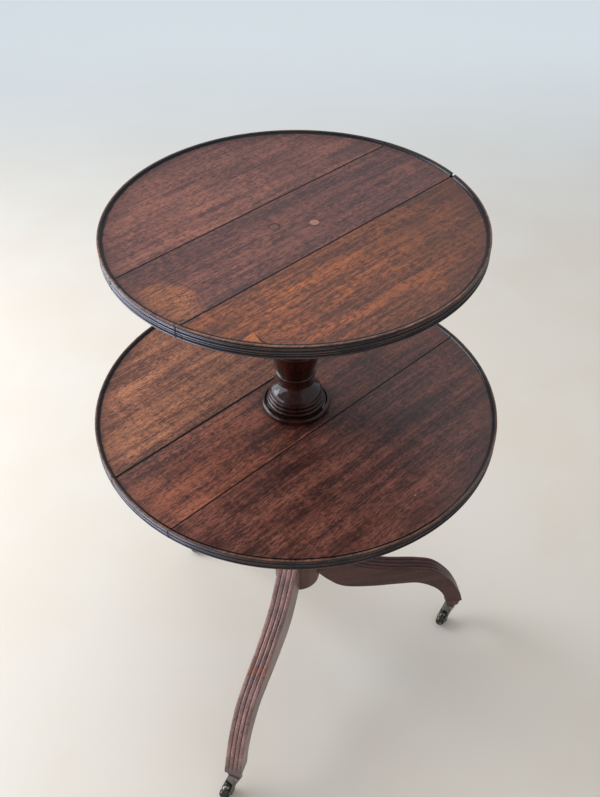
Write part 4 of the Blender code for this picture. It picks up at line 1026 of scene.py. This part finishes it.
def flap(reach, spans):
    low, high, clear = -2.6 * MM, -1.1 * MM, 3.2 * MM
    outer = [(-FLAP_HALF, clear), (FLAP_HALF, clear), (FLAP_HALF, reach), (-FLAP_HALF, reach)]
    parts = []
    for a, b in spans:
        parts.append(prism([(a, 0), (b, 0), (b, 2 * clear), (a, 2 * clear)], low, high, "Z"))
        parts.append(rod(KNUCKLE, a, b, steps=32, axis="X"))
    body = carve(prism(outer, low, high, "Z"), parts, "UNION")
    return carve(body, [rod(KNUCKLE_HOLE, -0.03, 0.03, steps=24, axis="X")])


def screw_head():
    side = in_mm([(0, 0.5, 0), (2.9, 0.5, 0), (2.9, 0.02, 0), (0, -0.12, 0)])
    head = turned("screw", outline(side), 32)
    slot = in_mm([(-0.35, -10), (0.35, -10), (0.35, 0.25), (-0.35, 0.25)])
    return carve(head, [prism(slot, -0.01, 0.01)])


fixed_flap = flap(0.024, [(-FLAP_HALF, -OUTER), (OUTER, FLAP_HALF)])
leaf_flap = flap(0.040, [(-MIDDLE, MIDDLE)])
pin_mesh = rod(PIN, -FLAP_HALF, FLAP_HALF, steps=24, axis="X")
head_mesh = screw_head()


# %% Place the hinges
def screws(name, spots, body, first_turn):
    bm = bmesh.new()
    for i, spot in enumerate(spots):
        one = head_mesh.copy()
        one.transform(Matrix.Translation(spot) @ Matrix.Rotation(first_turn + 1.9 * i, 4, "Z"))
        bm.from_mesh(one)
    mesh = bpy.data.meshes.new(name)
    bm.to_mesh(mesh)
    bm.free()
    return show(mesh, name, dark_brass, body, "brass", crease=30)


# Screws of a flap: places along the hinge and away from the joint, in millimetres.
FIXED_SCREWS = ((-12, -14.5), (12, -14.5))
LEAF_SCREWS = ((-12, 15), (12, 15), (0, 31))
for label, tray in TRAYS.items():
    face = tray["underside"] + 0.3 * MM
    for side, leaf in ((1, "back"), (-1, "front")):
        leaf_body = f"{label}_{leaf}_leaf"
        turn = 0 if side > 0 else math.pi
        spots = [x for x, its_side in hinge_spots(label) if its_side == side]
        for x in spots:
            name = f"{label}_{leaf}_{'left' if x < 0 else 'right'}"
            axis = (x, side * tray["joint_y"], tray["underside"] + AXIS_UP)
            for part, mesh, body, faces in (("leaf_flap", leaf_flap, leaf_body, turn),
                                            ("fixed_flap", fixed_flap, "stand", turn + math.pi)):
                refine(mesh, f"{name}_{part}", brass, body, "brass", at=axis, turn=faces)
            show(pin_mesh, f"fine_{name}_pin", steel, "stand", "steel", [f"{name}_hinge_pin"], axis,
                 turn)
        for kind, places, body, first_turn in (("fixed", FIXED_SCREWS, "stand", 0.4),
                                               ("leaf", LEAF_SCREWS, leaf_body, 1.1)):
            heads = [(x + dx * MM, side * (tray["joint_y"] + dy * MM), face)
                     for x in spots for dx, dy in places]
            screws(f"{label}_{leaf}_{kind}_screws", heads, body, first_turn)
print("hinge flap faces", len(fixed_flap.polygons), len(leaf_flap.polygons))

# %% [markdown]
# ## Blocks and bearers
# A round block fixes each tray to the pillar's neck, and under it a bar turns on the same neck. Set
# across the boards the bar holds the leaves up; parked along them, as here, it lets them fall. None
# of this wood shows in use, so it was left unpolished, with its arrises just eased.

# %% A bearer with its eye
BAR_HALF, EYE, EYE_HOLE = 15 * MM, 29 * MM, 17.4 * MM
BLOCK_SIDE = [(17.3, 0, 0), (45.0, 0, 0), (46.0, -1.0, 0.2), (46.0, -12.5, 0), (44.5, -14.0, 0.2),
              (17.3, -14.0, 0)]
BEARER_REACH = {"upper": 172, "lower": 208}


def bearer(reach):
    right = [(46.9, -14.3), (58.9, 0), (reach, 0), (reach, -12), (reach - 60, -27.3)]
    side = in_mm(right) + in_mm([(-x, z) for x, z in reversed(right)])
    bar = eased(prism(side, -BAR_HALF, BAR_HALF, "Y"), 1.0 * MM, 3)
    bar = carve(bar, [rod(EYE, -27.3 * MM, -14.3 * MM, steps=96)], "UNION")
    return carve(bar, [rod(EYE_HOLE, -0.05, 0.02, steps=96)])


# %% Place the blocks and bearers
for label, tray in TRAYS.items():
    top = (0, 0, tray["underside"] - SEAT)
    block = turned("block", outline(in_mm(BLOCK_SIDE), 5), 96, closed=True)
    refine(block, f"{label}_block", plain_wood, "stand", "hidden_wood", at=top)
    name = f"{label}_bearer"
    refine(bearer(BEARER_REACH[label]), name, plain_wood, name, "hidden_wood", at=top, crease=30)

# %% [markdown]
# ## Pellets and the old repair
# Two round pellets hide the screws that hold the upper tray down; one is paler than the board. Near
# the front edge a small triangle of paler wood was let in beside a crack.

# %% Pellets
pale_pellet = shaped_wood(
    "pale pellet wood", 97.0, (0.46, 0.19, 0.135), (0.33, 0.13, 0.095), 0.38, 0.3, rub=0.2)
brown_pellet = shaped_wood(
    "brown pellet wood", 99.0, (0.17, 0.062, 0.044), (0.10, 0.037, 0.027), 0.42, 0.1, rub=0.1)
side = [(0, 2.05, 0), (5.6, 2.0, 0.01), (6.5, 1.5, 0.2), (6.5, -2.0, 0), (0, -2.0, 0)]
pellet = turned("pellet", outline(in_mm(side), 5), 64)
for (x, y), name, look in zip(PELLETS, ("right", "left"), (pale_pellet, brown_pellet)):
    refine(pellet.copy(), f"pellet_{name}", look, "stand", "pellet_wood", at=(x, y, field_up - 2 * MM))

# %% The repair
patch_wood = shaped_wood(
    "repair wood", 104.0, (0.56, 0.185, 0.065), (0.42, 0.135, 0.050), 0.45, 0.0, rub=0.1,
    shine=0.3)
crack_look = shaped_wood(
    "crack filling", 105.0, (0.008, 0.004, 0.004), (0.004, 0.002, 0.002), 0.6, 0.0, shine=0.1)
patch = [(-0.1787, -0.1240), (-0.1960, -0.1262), (-0.1842, -0.1425)]
crack = [(-0.1789, -0.1250), (-0.1837, -0.1425), (-0.1815, -0.1500), (-0.1801, -0.1500),
         (-0.1817, -0.1415)]
for name, shape, look, proud in (("edge_repair", patch, patch_wood, 0.08 * MM),
                                 ("edge_crack", crack, crack_look, 0.06 * MM)):
    inlay = prism(shape, field_up - 0.5 * MM, field_up + proud, "Z")
    show(inlay, name, look, "upper_front_leaf", "mahogany")

# %% [markdown]
# ## The studio
# A pale floor that fades into a pale backdrop, and soft light from the left, where the photographed
# table had its window. A low, long lamp on that side lights the reeds of the rims and legs from
# below the tray's height. The world's pale colour is what polished wood reflects, so camera and
# glossy rays see it brighter than the light it gives.

# %% Rays that see the backdrop
def seen_directly(t):
    """1 for rays from the camera, off a polish or through a glass, 0 for the light itself."""
    path = t.add("LightPath")
    seen = t.maths("ADD", path["Is Camera Ray"], path["Is Glossy Ray"])
    return t.maths("ADD", seen, path["Is Transmission Ray"], clamp=True)


# %% Floor
LOOKING = (0.688, 0.725, 0.0)  # the way the camera looks, along the floor
stone, t, here = new_material("pale floor")
cloud = t.ramp(t.noise({"Vector": here, "Scale": 3.0, "Detail": 6.0})[0], 0.3, 0.7)
t.give("Base Color", t.blend(cloud, (0.855, 0.765, 0.650), (0.880, 0.810, 0.715)))
t.give("Roughness", 0.7)
depth = t.vector("DOT_PRODUCT", here, LOOKING)
shade_and_backdrop_share = t.times(t.ramp(depth, 0.9, 3.0, 0.0, 0.85), seen_directly(t))
backdrop = t.add("Emission", {"Color": (0.70, 0.78, 0.84), "Strength": 1.0})[0]
nodes = stone.node_tree.nodes
mixed = t.add("MixShader", {0: shade_and_backdrop_share, 1: nodes["Principled BSDF"].outputs[0], 2: backdrop})[0]
stone.node_tree.links.new(mixed, nodes["Material Output"].inputs["Surface"])
floor_mesh = prism([(-4, -4), (9, -4), (9, 9), (-4, 9)], -0.02, 0.0, "Z")
floor_mesh.materials.append(stone)
floor = placed("floor", floor_mesh)

# %% World and lamps
world = bpy.data.worlds.new("studio")
bpy.context.scene.world = world
world.use_nodes = True
t = Recipe(world.node_tree, world.node_tree.nodes["Background"].inputs)
t.give("Color", (0.86, 0.93, 1.0))
t.give("Strength", t.scaled(seen_directly(t), 0.22, 0.36))

view_angle = math.radians(46.5)
away = Vector((math.cos(view_angle), math.sin(view_angle), 0))
left = Vector((-away.y, away.x, 0))
MIDDLE_OF_TABLE = Vector((0, 0, 0.6))


def lamp(name, place, size, power, tint=(1, 1, 1), tall=None):
    light = bpy.data.lights.new(name, "AREA")
    light.shape = "RECTANGLE"
    light.size, light.size_y = size, tall or size
    light.energy = power
    light.color = tint
    thing = placed(name, light)
    thing.location = place
    thing.rotation_euler = (MIDDLE_OF_TABLE - place).to_track_quat("-Z", "Y").to_euler()


lamp("window", left * 2.3 + away * 0.7 + Vector((0, 0, 1.9)), 1.5, 36, (0.92, 0.95, 1.0))
lamp("low window", left * 2.1 + Vector((0, 0, 1.0)), 3.6, 31, (0.84, 0.90, 1.0), tall=1.0)
lamp("ceiling", away * 0.6 + Vector((0, 0, 3.2)), 3.0, 31)
lamp("front fill", away * -2.0 + left * -0.4 + Vector((0, 0, 2.6)), 2.8, 8, (1.0, 0.97, 0.93))

# %% [markdown]
# ## The camera
# The photograph was taken from standing height, looking down by about 43 degrees. The camera's
# place, tilt and lens were found from the rims of both trays, whose ellipses show the view.

# %% Camera
pitch, roll = math.radians(43.09), math.radians(-0.28)
forward = away * math.cos(pitch) - Vector((0, 0, math.sin(pitch)))
right = -left
up = right.cross(forward)
right, up = right * math.cos(roll) + up * math.sin(roll), up * math.cos(roll) - right * math.sin(roll)
camera_data = bpy.data.cameras.new("camera")
camera_data.sensor_fit = "VERTICAL"
camera_data.sensor_height = 36.0
FOCAL, PICTURE = 915.9, 797  # focal length and picture height in pixels
camera_data.lens = FOCAL * camera_data.sensor_height / PICTURE
camera = placed("camera", camera_data)
turn = Matrix((right, up, -forward)).transposed().to_4x4()
camera.matrix_world = Matrix.Translation((-0.6730, -0.7178, 1.5580)) @ turn
bpy.context.scene.camera = camera
bpy.context.scene.view_settings.view_transform = "Standard"
print("lens", round(camera_data.lens, 2), "mm")
